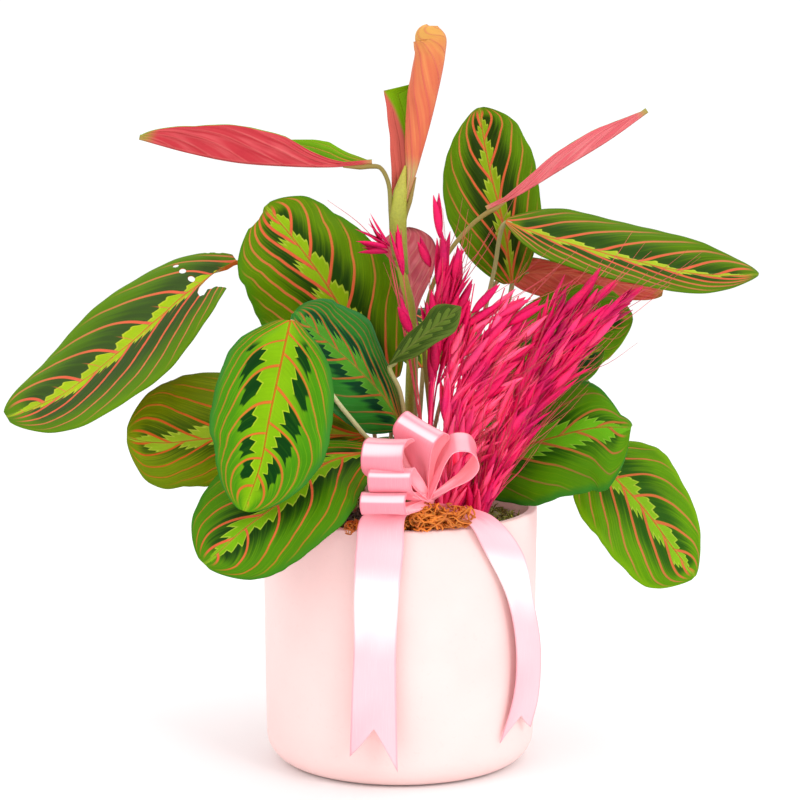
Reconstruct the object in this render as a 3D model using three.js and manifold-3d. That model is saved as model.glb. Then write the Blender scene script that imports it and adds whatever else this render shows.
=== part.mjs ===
// A red-veined maranta in a round ceramic pot, with a bunch of dyed dried oats and a satin ribbon bow.
// Millimetres, +Z up. The origin is the centre of the pot's flat base and the bow hangs on the -Y side.
import * as THREE from 'three';
import { mergeVertices } from 'three/addons/utils/BufferGeometryUtils.js';
import Module from 'manifold-3d';

const wasm = await Module();
wasm.setup();

// Pot
const potHeight = 132;
const rimRadius = 70;
const footRadius = 68.6;
const footRounding = 15;
const potWall = 4.5;
const potFloor = 6;
const rimRounding = 1.2;
const potSides = 40;

// Soil, and the clear space that touching pieces keep between them
const soilTop = 119;
const soilMound = 5;
const soilSides = potSides / 2;
const clearance = 0.3;
const stalkDepth = 12;
const stalkHole = 0.7;
const holeSides = 6;
const holeHeight = 40;

// Moss, a loose ring on the soil, and the tuft of coir under the bow
const mossInner = 39;
const mossThickness = 4.5;
const mossSides = 30;
const mossRings = 3;
const coirCore = { centre: [11, -51, 131], size: [24, 8.5, 9] };
const coirFibres = 16;
const coirRadius = 0.7;
const coirReach = -70;

// Leaves
const bladeThickness = 0.8;
const bladeRows = 8;
const bladeColumns = 4;
const bladeStart = 0.012;
const bladeEnd = 0.995;
const outlineFullness = 0.62;
const marginWave = 1.2;
const marginWaves = 2;
const tearDepth = 12;
const stalkRadius = 1.5;
const stalkSides = 5;
const stalkSteps = 2;
const stalkRise = 10;
const stemRoot = [5, 8];
const stemRadius = 2.6;
const stemSides = 6;

// Ribbon
const ribbonThickness = 0.7;
const ribbonGather = 2;
const knotSize = [3.6, 3.2, 4.2];
const loopRows = 14;
const tailRows = 12;
const tailColumns = 4;
const tailNotch = 0.07;
const notchFrom = 0.8;

// Oats
const oatStalkRadius = 0.8;
const oatRise = 12;
const oatCore = { top: 2.2, foot: 3, length: 34 };
const spikeletLength = 20;
const spikeletWidth = 4.4;
const spikeletLean = 0.45;

const degrees = Math.PI / 180;

const colours = {
  ceramic: 0xf6dcd8,
  soil: 0x4a3222,
  moss: 0x6f7a2c,
  coir: 0xb5702a,
  leaf: 0x3f8f14,
  darkLeaf: 0x2f6f3a,
  redLeaf: 0xd2505a,
  coralLeaf: 0xf08050,
  ribbon: 0xf7a8b8,
  oats: 0xe8145c,
};

function material(colour, roughness) {
  return new THREE.MeshStandardMaterial({ color: colour, roughness, metalness: 0 });
}

// Small seeded generator for the natural irregularity of moss, fibres and oats.
function randomFrom(seed) {
  let state = seed;
  return () => {
    state = (state + 0x6d2b79f5) | 0;
    let value = Math.imul(state ^ (state >>> 15), 1 | state);
    value = (value + Math.imul(value ^ (value >>> 7), 61 | value)) ^ value;
    return ((value ^ (value >>> 14)) >>> 0) / 4294967296;
  };
}

function vector([x, y, z]) {
  return new THREE.Vector3(x, y, z);
}

function curveThrough(points) {
  return new THREE.CatmullRomCurve3(points.map(vector));
}

// Value at u (0..1) of numbers or vectors given at equal steps.
function along(values, u) {
  const place = Math.min(Math.max(u, 0), 1) * (values.length - 1);
  const lower = Math.min(Math.floor(place), values.length - 2);
  const share = place - lower;
  if (typeof values[0] === 'number') return values[lower] * (1 - share) + values[lower + 1] * share;
  return vector(values[lower]).lerp(vector(values[lower + 1]), share);
}

// A closed three.js geometry as a solid: shared vertices merged, flat triangles dropped, faces outwards.
function solidOf(geometry) {
  const bare = geometry.clone();
  bare.deleteAttribute('normal');
  bare.deleteAttribute('uv');
  const merged = mergeVertices(bare, 1e-4);
  const position = merged.attributes.position.array;
  const index = merged.index.array;
  const triangles = [];
  let volume = 0;
  const corner = (i) => new THREE.Vector3().fromArray(position, index[i] * 3);
  for (let i = 0; i < index.length; i += 3) {
    const [a, b, c] = [index[i], index[i + 1], index[i + 2]];
    if (a === b || b === c || c === a) continue;
    triangles.push([a, b, c]);
    volume += corner(i).dot(corner(i + 1).cross(corner(i + 2)));
  }
  const ordered = volume > 0 ? triangles : triangles.map(([a, b, c]) => [a, c, b]);
  const triVerts = new Uint32Array(ordered.flat());
  return new wasm.Manifold(new wasm.Mesh({ numProp: 3, vertProperties: position, triVerts }));
}

function joined(solids) {
  return solids.reduce((whole, solid) => whole.add(solid));
}

function geometryOf(solid) {
  const mesh = solid.getMesh();
  const geometry = new THREE.BufferGeometry();
  const position = new Float32Array(mesh.numVert * 3);
  for (let i = 0; i < mesh.numVert; i += 1) {
    for (let k = 0; k < 3; k += 1) position[i * 3 + k] = mesh.vertProperties[i * mesh.numProp + k];
  }
  geometry.setAttribute('position', new THREE.BufferAttribute(position, 3));
  geometry.setIndex([...mesh.triVerts]);
  geometry.computeVertexNormals();
  return geometry;
}

// Closed sheet from a grid of points and normals: rows x columns on both faces, split alike, and a rim.
function sheetGeometry(rows, columns, thickness, sample) {
  const positions = [];
  const width = columns + 1;
  const faceSize = (rows + 1) * width;
  for (const sign of [1, -1]) {
    for (let i = 0; i <= rows; i += 1) {
      for (let j = 0; j <= columns; j += 1) {
        const { point, normal } = sample(i / rows, (2 * j) / columns - 1);
        positions.push(...point.clone().addScaledVector(normal, (sign * thickness) / 2).toArray());
      }
    }
  }
  const index = [];
  const quad = (a, b, c, d) => index.push(a, b, c, a, c, d);
  for (let i = 0; i < rows; i += 1) {
    for (let j = 0; j < columns; j += 1) {
      const a = i * width + j;
      const [b, c, d] = [a + 1, a + width + 1, a + width];
      quad(a, b, c, d);
      index.push(faceSize + a, faceSize + c, faceSize + b, faceSize + a, faceSize + d, faceSize + c);
    }
  }
  const rim = [];
  for (let j = 0; j < columns; j += 1) rim.push(j);
  for (let i = 0; i < rows; i += 1) rim.push(i * width + columns);
  for (let j = columns; j > 0; j -= 1) rim.push(rows * width + j);
  for (let i = rows; i > 0; i -= 1) rim.push(i * width);
  rim.forEach((a, k) => {
    const b = rim[(k + 1) % rim.length];
    quad(b, a, faceSize + a, faceSize + b);
  });
  const geometry = new THREE.BufferGeometry();
  geometry.setAttribute('position', new THREE.Float32BufferAttribute(positions, 3));
  geometry.setIndex(index);
  return geometry;
}

// Closed round tube through points: straight to the second point and up to the last, `steps` in between.
function tube(points, radius, sides = stalkSides, steps = stalkSteps) {
  const curve = curveThrough(points);
  const spans = points.length - 1;
  const places = [0];
  for (let span = 0; span < spans; span += 1) {
    const count = span === 0 || span === spans - 1 ? 1 : steps;
    for (let i = 1; i <= count; i += 1) places.push((span + i / count) / spans);
  }
  const positions = [];
  const normal = new THREE.Vector3(1, 0.3, 0.2);
  for (const place of places) {
    const centre = curve.getPoint(place);
    const tangent = curve.getTangent(place);
    normal.addScaledVector(tangent, -normal.dot(tangent)).normalize();
    const other = tangent.clone().cross(normal);
    for (let i = 0; i < sides; i += 1) {
      const angle = (2 * Math.PI * i) / sides;
      const offset = normal.clone().multiplyScalar(Math.cos(angle)).addScaledVector(other, Math.sin(angle));
      positions.push(...centre.clone().addScaledVector(offset, radius).toArray());
    }
  }
  const index = [];
  const last = (places.length - 1) * sides;
  for (let i = 0; i < last; i += 1) {
    const next = i % sides === sides - 1 ? i + 1 - sides : i + 1;
    index.push(i, next, next + sides, i, next + sides, i + sides);
  }
  for (let i = 1; i < sides - 1; i += 1) index.push(0, i + 1, i, last, last + i, last + i + 1);
  const geometry = new THREE.BufferGeometry();
  geometry.setAttribute('position', new THREE.Float32BufferAttribute(positions, 3));
  geometry.setIndex(index);
  return solidOf(geometry);
}

// ---------------------------------------------------------------------------------------------------
// Pot and soil

function lathe(profile, sides = potSides) {
  const points = profile.map(([r, z]) => new THREE.Vector2(r, z));
  const geometry = new THREE.LatheGeometry(points, sides);
  geometry.rotateX(Math.PI / 2);
  return solidOf(geometry);
}

function arc(centreR, centreZ, radius, from, to, steps) {
  const points = [];
  for (let i = 0; i <= steps; i += 1) {
    const angle = (from + ((to - from) * i) / steps) * degrees;
    points.push([centreR + radius * Math.cos(angle), centreZ + radius * Math.sin(angle)]);
  }
  return points;
}

function outerRadius(z) {
  return footRadius + ((rimRadius - footRadius) * z) / potHeight;
}

function innerRadius(z) {
  return outerRadius(z) - potWall;
}

function potSolid() {
  const innerRounding = footRounding - potWall;
  const rimZ = potHeight - rimRounding;
  return lathe([
    [0, 0],
    ...arc(footRadius - footRounding, footRounding, footRounding, -90, 0, 4),
    ...arc(outerRadius(rimZ) - rimRounding, rimZ, rimRounding, 0, 90, 2),
    ...arc(innerRadius(rimZ) + rimRounding, rimZ, rimRounding, 90, 180, 2),
    ...arc(innerRadius(potFloor) - innerRounding, potFloor + innerRounding, innerRounding, 0, -90, 3),
    [0, potFloor],
  ]);
}

function soilHeight(radius) {
  return soilTop + soilMound * (1 - (radius / innerRadius(soilTop)) ** 2);
}

function soilSolid(holes) {
  const rounding = footRounding - potWall;
  const floor = potFloor + clearance;
  const edge = innerRadius(soilTop) - clearance;
  const whole = lathe([
    [0, floor],
    ...arc(innerRadius(potFloor) - rounding - clearance, floor + rounding, rounding, -90, 0, 3),
    [edge, soilHeight(edge)],
    [edge / 2, soilHeight(edge / 2)],
    [0, soilHeight(0)],
  ], soilSides);
  return holes.reduce((soil, hole) => soil.subtract(hole), whole);
}

// Loose moss: a lumpy ring on the soil, inside the rim.
function mossSolid(cutters) {
  const random = randomFrom(11);
  const outer = innerRadius(soilTop) - 2 * clearance;
  const positions = [];
  const place = (angle, radius, height) => {
    positions.push(radius * Math.cos(angle), radius * Math.sin(angle), height);
  };
  const size = mossSides * (mossRings + 1);
  for (const layer of [1, 0]) {
    for (let i = 0; i < mossSides; i += 1) {
      for (let j = 0; j <= mossRings; j += 1) {
        const radius = mossInner + ((outer - mossInner) * j) / mossRings;
        const edge = j === 0 || j === mossRings ? 0.35 : 1;
        const lump = layer * mossThickness * edge * (0.6 + 0.8 * random());
        place((2 * Math.PI * i) / mossSides, radius, soilHeight(radius) + clearance + 0.4 * layer + lump);
      }
    }
  }
  const index = [];
  const quad = (a, b, c, d) => index.push(a, b, c, a, c, d);
  for (let i = 0; i < mossSides; i += 1) {
    const next = (i + 1) % mossSides;
    for (let j = 0; j < mossRings; j += 1) {
      const a = i * (mossRings + 1) + j;
      const d = next * (mossRings + 1) + j;
      quad(a, a + 1, d + 1, d);
      index.push(size + a, size + d + 1, size + a + 1, size + a, size + d, size + d + 1);
    }
    const [a, b] = [i * (mossRings + 1), next * (mossRings + 1)];
    quad(a, b, size + b, size + a);
    quad(b + mossRings, a + mossRings, size + a + mossRings, size + b + mossRings);
  }
  const geometry = new THREE.BufferGeometry();
  geometry.setAttribute('position', new THREE.Float32BufferAttribute(positions, 3));
  geometry.setIndex(index);
  return cutters.reduce((moss, cutter) => moss.subtract(cutter), solidOf(geometry));
}

// ---------------------------------------------------------------------------------------------------
// Leaves. Each blade follows its midrib, given from the leaf base to the tip, and turns its upper side
// towards `face`. Its two halves, left and right of the midrib seen from above with the tip ahead, rise
// from it by `fold` degrees and bend on by `curl` degrees to the margin. `widest` is the widest place
// along the midrib, `margins` scale each half's width at equal steps from base to tip, and `leastWidth`
// keeps a steeply folded blade open at its ends. `tear` is the outline of a missing piece as [u, t]: u
// from base to tip and t from the midrib to the margin. `stalk` starts with its root in the soil.

const leaves = [
  {
    name: 'leaf_far_left',
    rib: [[-84, 28, 254], [-107, 18, 243], [-138, 5, 219], [-168, -8, 196], [-198, -16, 180]],
    face: [[-0.25, -0.62, 0.74], [-0.5, -0.6, 0.62]],
    halfWidth: 34,
    fold: [10, 10],
    curl: [-14, -14],
    margins: [[0.8, 1, 1.2, 1.4, 1.6], [0.8, 0.85, 0.85, 0.85, 0.9]],
    stalk: [[-18, 20], [-34, 32, 190], [-62, 35, 246]],
    tear: [[-0.02, 0.1], [0.2, 0.07], [0.27, 0.12], [0.26, 0.3], [0.16, 0.55], [-0.02, 1.2]],
    tearSide: -1,
  },
  {
    name: 'leaf_upper_left',
    rib: [[-4, 17, 193], [-25, 14, 223], [-40, 9, 248], [-55, 5, 269], [-68, 8, 284]],
    face: [[-0.2, -0.85, 0.45], [-0.25, -0.8, 0.5]],
    halfWidth: 35,
    fold: [6, 8],
    curl: [-16, -22],
    margins: [[1.2, 1.2, 1.1, 1.1, 1.4], [1, 1.1, 0.9, 0.8, 1]],
    stalk: [[-6, 14], [-5, 17, 158]],
  },
  {
    name: 'leaf_front',
    rib: [[-53.5, -48, 233], [-57, -62, 217], [-63, -76, 189], [-67, -82, 168], [-75, -84, 145]],
    face: [[-0.25, -0.6, 0.75], [-0.2, -0.97, 0.1], [-0.2, -1, -0.1]],
    halfWidth: 31,
    fold: [6, 6],
    curl: [-20, -20],
    margins: [[0.7, 0.95, 1, 1.05, 1], [1.5, 1.1, 0.95, 0.95, 1.1]],
    stalk: [[-9, -20], [-9.5, -24, 161], [-20, -37, 177], [-36, -46, 200], [-46, -48, 224]],
  },
  {
    name: 'leaf_dark_middle',
    rib: [[1, -14, 175], [-10, -22, 193], [-25, -30, 210], [-41, -36, 225], [-52, -38, 236]],
    face: [[0.1, -0.8, 0.6], [-0.1, -0.6, 0.8]],
    halfWidth: 27,
    fold: [4, 4],
    curl: [-20, -20],
    margins: [[1.2, 1.05, 1, 0.9, 0.8], [0.5, 0.75, 1.05, 1.1, 1.3]],
    stalk: [[2, -8], [3, -12, 152]],
  },
  {
    name: 'leaf_low_left',
    rib: [[-18, -6, 169], [-50, -14, 173], [-95, -20, 173], [-115, -22, 171], [-137, -22, 171]],
    face: [[-0.1, -0.8, 0.6], [-0.1, -0.85, 0.5]],
    halfWidth: 31,
    fold: [4, 4],
    curl: [-20, -20],
    margins: [[0.8, 0.85, 0.9, 1, 1.4], [1.2, 1.1, 1.1, 1.2, 1.6]],
    stalk: [[-12, 0], [-14, -3, 145]],
  },
  {
    name: 'leaf_bottom_left',
    rib: [[-13, -34, 166], [-38, -54, 163], [-58, -66, 148], [-78, -74, 134], [-95, -80, 118]],
    face: [[-0.1, -0.65, 0.75], [-0.3, -0.8, 0.5]],
    halfWidth: 32,
    fold: [6, 6],
    curl: [-20, -22],
    margins: [[0.8, 1.1, 1, 1.15, 1.5], [0.7, 0.7, 1, 1.2, 1.35]],
    stalk: [[-4, -33], [-8, -34, 145]],
  },
  {
    name: 'leaf_upper_right',
    rib: [[58, 38, 241], [54, 40, 269], [47, 44, 297], [43, 48, 317], [41, 50, 331]],
    face: [[-0.1, -0.95, 0.2], [-0.1, -0.95, 0.3]],
    halfWidth: 26,
    fold: [8, 8],
    curl: [-10, -14],
    margins: [[1.3, 1.15, 1, 0.8, 0.65], [0.9, 0.9, 0.9, 0.9, 1.05]],
    stalk: [[16, 28], [26, 42, 165], [50, 50, 212]],
  },
  {
    name: 'leaf_folded_right',
    rib: [[44, 8, 282], [60, 6, 290], [81, 4, 303], [105, 2, 318], [124, 0, 332]],
    face: [[-0.5, 0.1, 0.85], [-0.5, 0.1, 0.85]],
    halfWidth: 11.5,
    leastWidth: 2.2,
    widest: 0.6,
    fold: [62, 62],
    curl: [24, 24],
    wave: 0,
    stalk: [[15, 10], [16, 11, 165], [12.5, 9, 226], [22, 6, 256], [36, 8, 274]],
  },
  {
    name: 'leaf_long_right',
    rib: [[54, 20, 275], [81, 17, 267], [117, 12, 258], [151, 6, 251], [181, 0, 250]],
    face: [[0.1, -0.6, 0.8], [0.1, -0.75, 0.65]],
    halfWidth: 25,
    fold: [8, 8],
    curl: [-10, -10],
    margins: [[1, 0.9, 0.85, 0.85, 0.8], [1, 0.8, 0.8, 0.7, 0.75]],
    stalk: [[22, 18], [34, 23, 185], [48, 24, 248]],
  },
  {
    name: 'leaf_red_right',
    rib: [[56, 54, 245], [83, 53, 245], [109, 50, 241], [137, 48, 235]],
    face: [[0, 0.8, 0.6], [0, 0.8, 0.6]],
    halfWidth: 18,
    fold: [8, 8],
    curl: [-10, -10],
    margins: [[1.5, 1.4, 1.15, 1, 0.9], [1, 0.5, 0.35, 0.3, 0.35]],
    stalk: [[12, 36], [24, 50, 186], [44, 56, 231]],
  },
  {
    name: 'leaf_behind_oats',
    rib: [[40, 26, 184], [66, 30, 206], [97, 32, 221], [120, 30, 225]],
    face: [[-0.2, -0.8, 0.6], [-0.2, -0.8, 0.6]],
    halfWidth: 26,
    fold: [4, 4],
    curl: [-12, -16],
    margins: [[0.7, 0.9, 1.05, 1, 1.1], [1, 1.05, 1.05, 1.05, 1.2]],
    stalk: [[28, 14], [33, 21, 150]],
  },
  {
    name: 'leaf_under_oats',
    rib: [[46, 10, 172], [66, 13, 188], [88, 14, 202], [104, 14, 211]],
    face: [[-0.2, -0.75, 0.65], [-0.2, -0.75, 0.65]],
    halfWidth: 17,
    fold: [4, 4],
    curl: [-12, -16],
    margins: [[0.6, 0.75, 0.9, 0.9, 1], [0.9, 0.8, 0.8, 0.8, 1]],
    stalk: [[32, 2], [40, 6, 152]],
  },
  {
    name: 'leaf_right_front',
    rib: [[31, 2, 147], [54, -12, 161], [77, -28, 172], [99, -42, 180], [112, -52, 180]],
    face: [[-0.1, -0.8, 0.6], [0.1, -0.85, 0.5]],
    halfWidth: 29,
    fold: [4, 4],
    curl: [-20, -24],
    margins: [[0.9, 1.1, 1.2, 1, 0.6], [1.2, 1.2, 1.1, 1.2, 1.7]],
    stalk: [[24, -8], [26, -3, 138]],
  },
  {
    name: 'leaf_far_right_low',
    rib: [[94, 0, 162], [108, -8, 148], [122, -14, 134], [138, -20, 113], [149, -22, 99]],
    face: [[0.3, -0.7, 0.6], [0.3, -0.85, 0.4]],
    halfWidth: 30,
    fold: [8, 8],
    curl: [-18, -18],
    margins: [[1.3, 1.2, 1, 0.8, 0.75], [1.2, 1.1, 1.05, 1.1, 1.3]],
    stalk: [[34, 6], [52, 6, 150], [76, 4, 166]],
  },
  {
    name: 'leaf_small_middle',
    rib: [[-6, -38, 209], [14.5, -43, 227], [30, -44, 239]],
    face: [[-0.4, -0.5, 0.6], [-0.4, -0.5, 0.6]],
    halfWidth: 11.5,
    widest: 0.62,
    fold: [10, 10],
    curl: [-20, -20],
    stalk: [[5, -27], [4, -33, 165], [0, -37, 196]],
  },
  {
    name: 'leaf_red_behind_stem',
    rib: [[8, 40, 216], [5, 44, 242], [2, 48, 269]],
    face: [[0, 0.9, 0.4], [0, 0.9, 0.4]],
    halfWidth: 17,
    leastWidth: 1.6,
    widest: 0.76,
    fold: [20, 20],
    curl: [10, 10],
    stalk: [[6, 25], [8, 37, 170]],
  },
  {
    name: 'leaf_back_left',
    rib: [[-18, 40, 186], [-34, 62, 196], [-52, 84, 196], [-68, 104, 184]],
    face: [[-0.2, 0.3, 0.9], [-0.4, 0.5, 0.7]],
    halfWidth: 29,
    fold: [6, 6],
    curl: [-18, -18],
    stalk: [[-10, 32], [-13, 36, 160]],
  },
  {
    name: 'leaf_back_middle',
    rib: [[12, 58, 194], [16, 80, 212], [20, 106, 218], [22, 132, 208]],
    face: [[0, 0.1, 1], [0.1, 0.5, 0.8]],
    halfWidth: 29,
    fold: [6, 6],
    curl: [-18, -18],
    stalk: [[4, 34], [10, 51, 165]],
  },
  {
    name: 'leaf_back_right',
    rib: [[40, 48, 166], [60, 64, 182], [80, 82, 186], [98, 100, 176]],
    face: [[0.1, 0.3, 0.9], [0.4, 0.5, 0.7]],
    halfWidth: 28,
    fold: [6, 6],
    curl: [-18, -18],
    stalk: [[28, 24], [35, 38, 145]],
  },
  {
    name: 'leaf_back_low_left',
    rib: [[-34, 34, 150], [-56, 54, 156], [-78, 74, 148], [-94, 92, 130]],
    face: [[-0.2, 0.3, 0.9], [-0.4, 0.6, 0.6]],
    halfWidth: 28,
    fold: [6, 6],
    curl: [-18, -18],
    stalk: [[-24, 22], [-29, 28, 138]],
  },
  {
    name: 'leaf_back_low',
    rib: [[4, 58, 146], [6, 82, 152], [6, 106, 142], [4, 126, 120]],
    face: [[0, 0.3, 0.9], [0, 0.6, 0.6]],
    halfWidth: 28,
    fold: [6, 6],
    curl: [-18, -18],
    stalk: [[-4, 36], [1, 50, 138]],
  },
];

// The one tall stem carries a folded leaf, held out to the left, and a young leaf that is still rolled up.
const stemPath = [[5, 6, 185], [6, 4, 216], [5, 2, 235], [2, 0, 247], [-1, -1, 266], [0, 0, 286]];
const sheath = { centre: [-1, -1, 279], size: [4.8, 4.2, 27] };
const stemLeaves = [
  {
    rib: [[-14, 0, 306], [-35, 0, 304.5], [-58, 0, 305], [-82, -2, 307], [-106, -4, 312], [-130, -8, 319]],
    face: [[0, 0.1, 1], [0, -0.1, 1]],
    halfWidth: 20,
    leastWidth: 2.2,
    widest: 0.62,
    fold: [64, 56],
    curl: [10, 10],
    wave: 0,
    margins: [
      [0.25, 0.45, 0.7, 0.95, 1, 1, 0.95, 0.8, 0.7],
      [1.2, 1.4, 1.1, 0.85, 0.75, 0.75, 0.7, 0.55, 0.5],
    ],
    stalkPoints: [[-3, -2, 258], [-4.6, -2, 280], [-6, -2, 297], [-10, -1, 304]],
  },
  {
    rib: [[1, 0, 279], [9, 0, 305], [16, 0, 331], [21.5, 0, 355], [17.5, 0, 374]],
    face: [[-1, 0, 0.1], [-1, 0, 0.1]],
    halfWidth: 24,
    leastWidth: 4.4,
    widest: 0.7,
    fold: [46, 10],
    curl: [60, 165],
    margins: [
      [0.9, 1, 1.1, 1.2, 1.3, 1.35, 0.75, 0.6, 0.6],
      [1, 1, 1, 1, 1, 1, 1, 1.1, 1.4],
    ],
    columns: 8,
    stalkPoints: [[0, 0, 262]],
  },
];

// Half width at u: a round-ended outline, scaled by the half's own `margins` at equal steps along the rib.
function halfWidth(leaf, u, side) {
  const widest = leaf.widest ?? 0.5;
  const inside = Math.min(Math.max(u, 0), 1);
  const place = (bladeStart + (bladeEnd - bladeStart) * inside) ** (Math.log(0.5) / Math.log(widest));
  const margins = leaf.margins ? along(leaf.margins[side < 0 ? 0 : 1], (inside - 0.1) / 0.8) : 1;
  const width = leaf.halfWidth * Math.sin(Math.PI * place) ** outlineFullness * margins;
  return Math.max(width, leaf.leastWidth ?? 0);
}

// Frame of the midrib at u; a u outside 0..1 runs straight on from the end.
function ribFrame(leaf, curve, u) {
  const inside = Math.min(Math.max(u, 0), 1);
  const tangent = curve.getTangent(inside);
  const point = curve.getPoint(inside).addScaledVector(tangent, (u - inside) * curve.getLength());
  const face = along(leaf.face, u);
  face.addScaledVector(tangent, -face.dot(tangent)).normalize();
  return { point, tangent, face, side: tangent.clone().cross(face) };
}

// Upper normal of one half, 0 or 1, at a share of its width from the midrib.
function halfNormal(leaf, half, share, face, side) {
  const angle = (leaf.fold[half] + leaf.curl[half] * share) * degrees;
  const sideways = (half === 0 ? 1 : -1) * Math.sin(angle);
  return face.clone().multiplyScalar(Math.cos(angle)).addScaledVector(side, sideways);
}

// Point and normal of a blade at u from base to tip and t from -1 to 1 across. On the midrib the normal is
// the mitre of both halves, longer than 1, so that the fold is as thick as the rest.
function bladeAt(leaf, curve, u, t) {
  const { point, face, side } = ribFrame(leaf, curve, u);
  const half = t < 0 ? 0 : 1;
  const sign = t < 0 ? -1 : 1;
  const share = Math.abs(t);
  const fold = leaf.fold[half] * degrees;
  const curl = leaf.curl[half] * degrees;
  const angle = fold + curl * share;
  const width = halfWidth(leaf, u, sign);
  const outward = (Math.sin(angle) - Math.sin(fold)) / curl;
  const upward = (Math.cos(fold) - Math.cos(angle)) / curl;
  const wave = (leaf.wave ?? marginWave) * share ** 2 * Math.sin(2 * Math.PI * marginWaves * u + sign * 1.3);
  const normal = halfNormal(leaf, half, share, face, side);
  point.addScaledVector(side, sign * width * outward).addScaledVector(face, width * upward);
  point.addScaledVector(normal, wave);
  if (share > 0) return { point, normal };
  const other = halfNormal(leaf, 0, 0, face, side);
  return { point, normal: normal.clone().add(other).divideScalar(1 + normal.dot(other)) };
}

// Rows lie closer together at the base and the tip, where the outline turns.
function rowPlace(share) {
  return 0.4 * share + 0.6 * (0.5 - 0.5 * Math.cos(Math.PI * share));
}

function bladeSolid(leaf, curve) {
  const sample = (share, t) => bladeAt(leaf, curve, rowPlace(share), t);
  return solidOf(sheetGeometry(bladeRows, leaf.columns ?? bladeColumns, bladeThickness, sample));
}

// A torn place: a prism through the blade over an outline given as [u, t] on one half.
function tearSolid(leaf, curve) {
  const outline = leaf.tear.map(([u, t]) => bladeAt(leaf, curve, u, t * leaf.tearSide));
  const positions = [];
  for (const sign of [1, -1]) {
    for (const { point, normal } of outline) {
      positions.push(...point.clone().addScaledVector(normal, sign * tearDepth).toArray());
    }
  }
  const count = outline.length;
  const index = [];
  for (let i = 1; i < count - 1; i += 1) {
    index.push(0, i, i + 1, count, count + i + 1, count + i);
  }
  for (let i = 0; i < count; i += 1) {
    const next = (i + 1) % count;
    index.push(i, count + i, count + next, i, count + next, next);
  }
  const geometry = new THREE.BufferGeometry();
  geometry.setAttribute('position', new THREE.Float32BufferAttribute(positions, 3));
  geometry.setIndex(index);
  return solidOf(geometry);
}

// A stem comes straight up out of its hole in the soil before it bends.
function rooted([x, y]) {
  return [[x, y, soilTop - stalkDepth], [x, y, soilTop + stalkRise]];
}

// The stalk goes on from the leaf base for a short way under the midrib.
function underRib(leaf, curve) {
  return [0, 0.1].map((u) => {
    const { point, face } = ribFrame(leaf, curve, u);
    return point.addScaledVector(face, -0.6 * stalkRadius).toArray();
  });
}

function leafSolid(leaf) {
  const curve = curveThrough(leaf.rib);
  const blade = bladeSolid(leaf, curve);
  const whole = leaf.tear ? blade.subtract(tearSolid(leaf, curve)) : blade;
  const [root, ...bends] = leaf.stalk ?? [null, ...leaf.stalkPoints];
  const start = root ? rooted(root) : [];
  return whole.add(tube([...start, ...bends, ...underRib(leaf, curve)], stalkRadius));
}

function stemSolid() {
  const stem = tube([...rooted(stemRoot), ...stemPath], stemRadius, stemSides, 1);
  const wrap = new THREE.SphereGeometry(1, 8, 6);
  wrap.rotateX(Math.PI / 2);
  wrap.scale(...sheath.size);
  wrap.translate(...sheath.centre);
  return joined([stem, solidOf(wrap), ...stemLeaves.map(leafSolid)]);
}

function holeFor([x, y], radius) {
  const hole = new THREE.CylinderGeometry(radius, radius, holeHeight, holeSides);
  hole.rotateX(Math.PI / 2);
  hole.translate(x, y, soilTop - stalkDepth - stalkHole + holeHeight / 2);
  return solidOf(hole);
}

// ---------------------------------------------------------------------------------------------------
// Ribbon. A strip runs between two edges, each a curve through chosen points.

function stripSolid(leftPoints, rightPoints, rows, columns, notch = 0) {
  const left = curveThrough(leftPoints);
  const right = curveThrough(rightPoints);
  const at = (s, t) => {
    const end = Math.max(0, (s - notchFrom) / (1 - notchFrom));
    const place = s - notch * (1 - Math.abs(t)) * end;
    return left.getPoint(place).lerp(right.getPoint(place), (t + 1) / 2);
  };
  const step = 0.004;
  const sample = (s, t) => {
    const point = at(s, t);
    const forward = at(Math.min(s + step, 1), t).sub(at(Math.max(s - step, 0), t));
    const across = at(s, 1).sub(at(s, -1));
    return { point, normal: across.cross(forward).normalize() };
  };
  return solidOf(sheetGeometry(rows, columns, ribbonThickness, sample));
}

// A bow loop leaves the knot, rolls round the line between its two ring centres and comes back.
const knot = [13.5, -66, 147];
const bowLoops = [
  { centres: [[1, -62, 184], [19.5, -74, 175]], radius: 7 },
  { centres: [[-15, -70, 169], [5, -79, 170]], radius: 9.6 },
  { centres: [[-14, -77, 159], [7, -83.5, 160]], radius: 6 },
  { centres: [[-18, -77, 147.5], [4, -83, 148.5]], radius: 5.6 },
  { centres: [[30, -84, 170], [29, -63.5, 176]], radius: 8.6 },
];

function loopEdge(loop, end) {
  const [left, right] = loop.centres.map(vector);
  const axis = right.clone().sub(left).normalize();
  const middle = left.clone().lerp(right, 0.5);
  const outward = middle.sub(vector(knot));
  outward.addScaledVector(axis, -outward.dot(axis)).normalize();
  const sideways = axis.clone().cross(outward);
  const centre = vector(loop.centres[end]);
  const gather = axis.clone().multiplyScalar(end === 0 ? -ribbonGather : ribbonGather);
  const nearKnot = (sign) => vector(knot).add(gather).addScaledVector(sideways, sign * 0.6);
  const ring = [-110, -60, 0, 60, 110].map((angle) => {
    const turn = angle * degrees;
    const point = centre.clone().addScaledVector(outward, loop.radius * Math.cos(turn));
    return point.addScaledVector(sideways, loop.radius * Math.sin(turn));
  });
  return [nearKnot(-1), ...ring, nearKnot(1)].map((point) => point.toArray());
}

function bowSolid() {
  const loops = bowLoops.map((loop) => stripSolid(loopEdge(loop, 0), loopEdge(loop, 1), loopRows, 1));
  const ball = new THREE.SphereGeometry(1, 8, 6);
  ball.scale(...knotSize);
  ball.translate(...knot);
  return joined([solidOf(ball), ...loops]);
}

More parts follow.
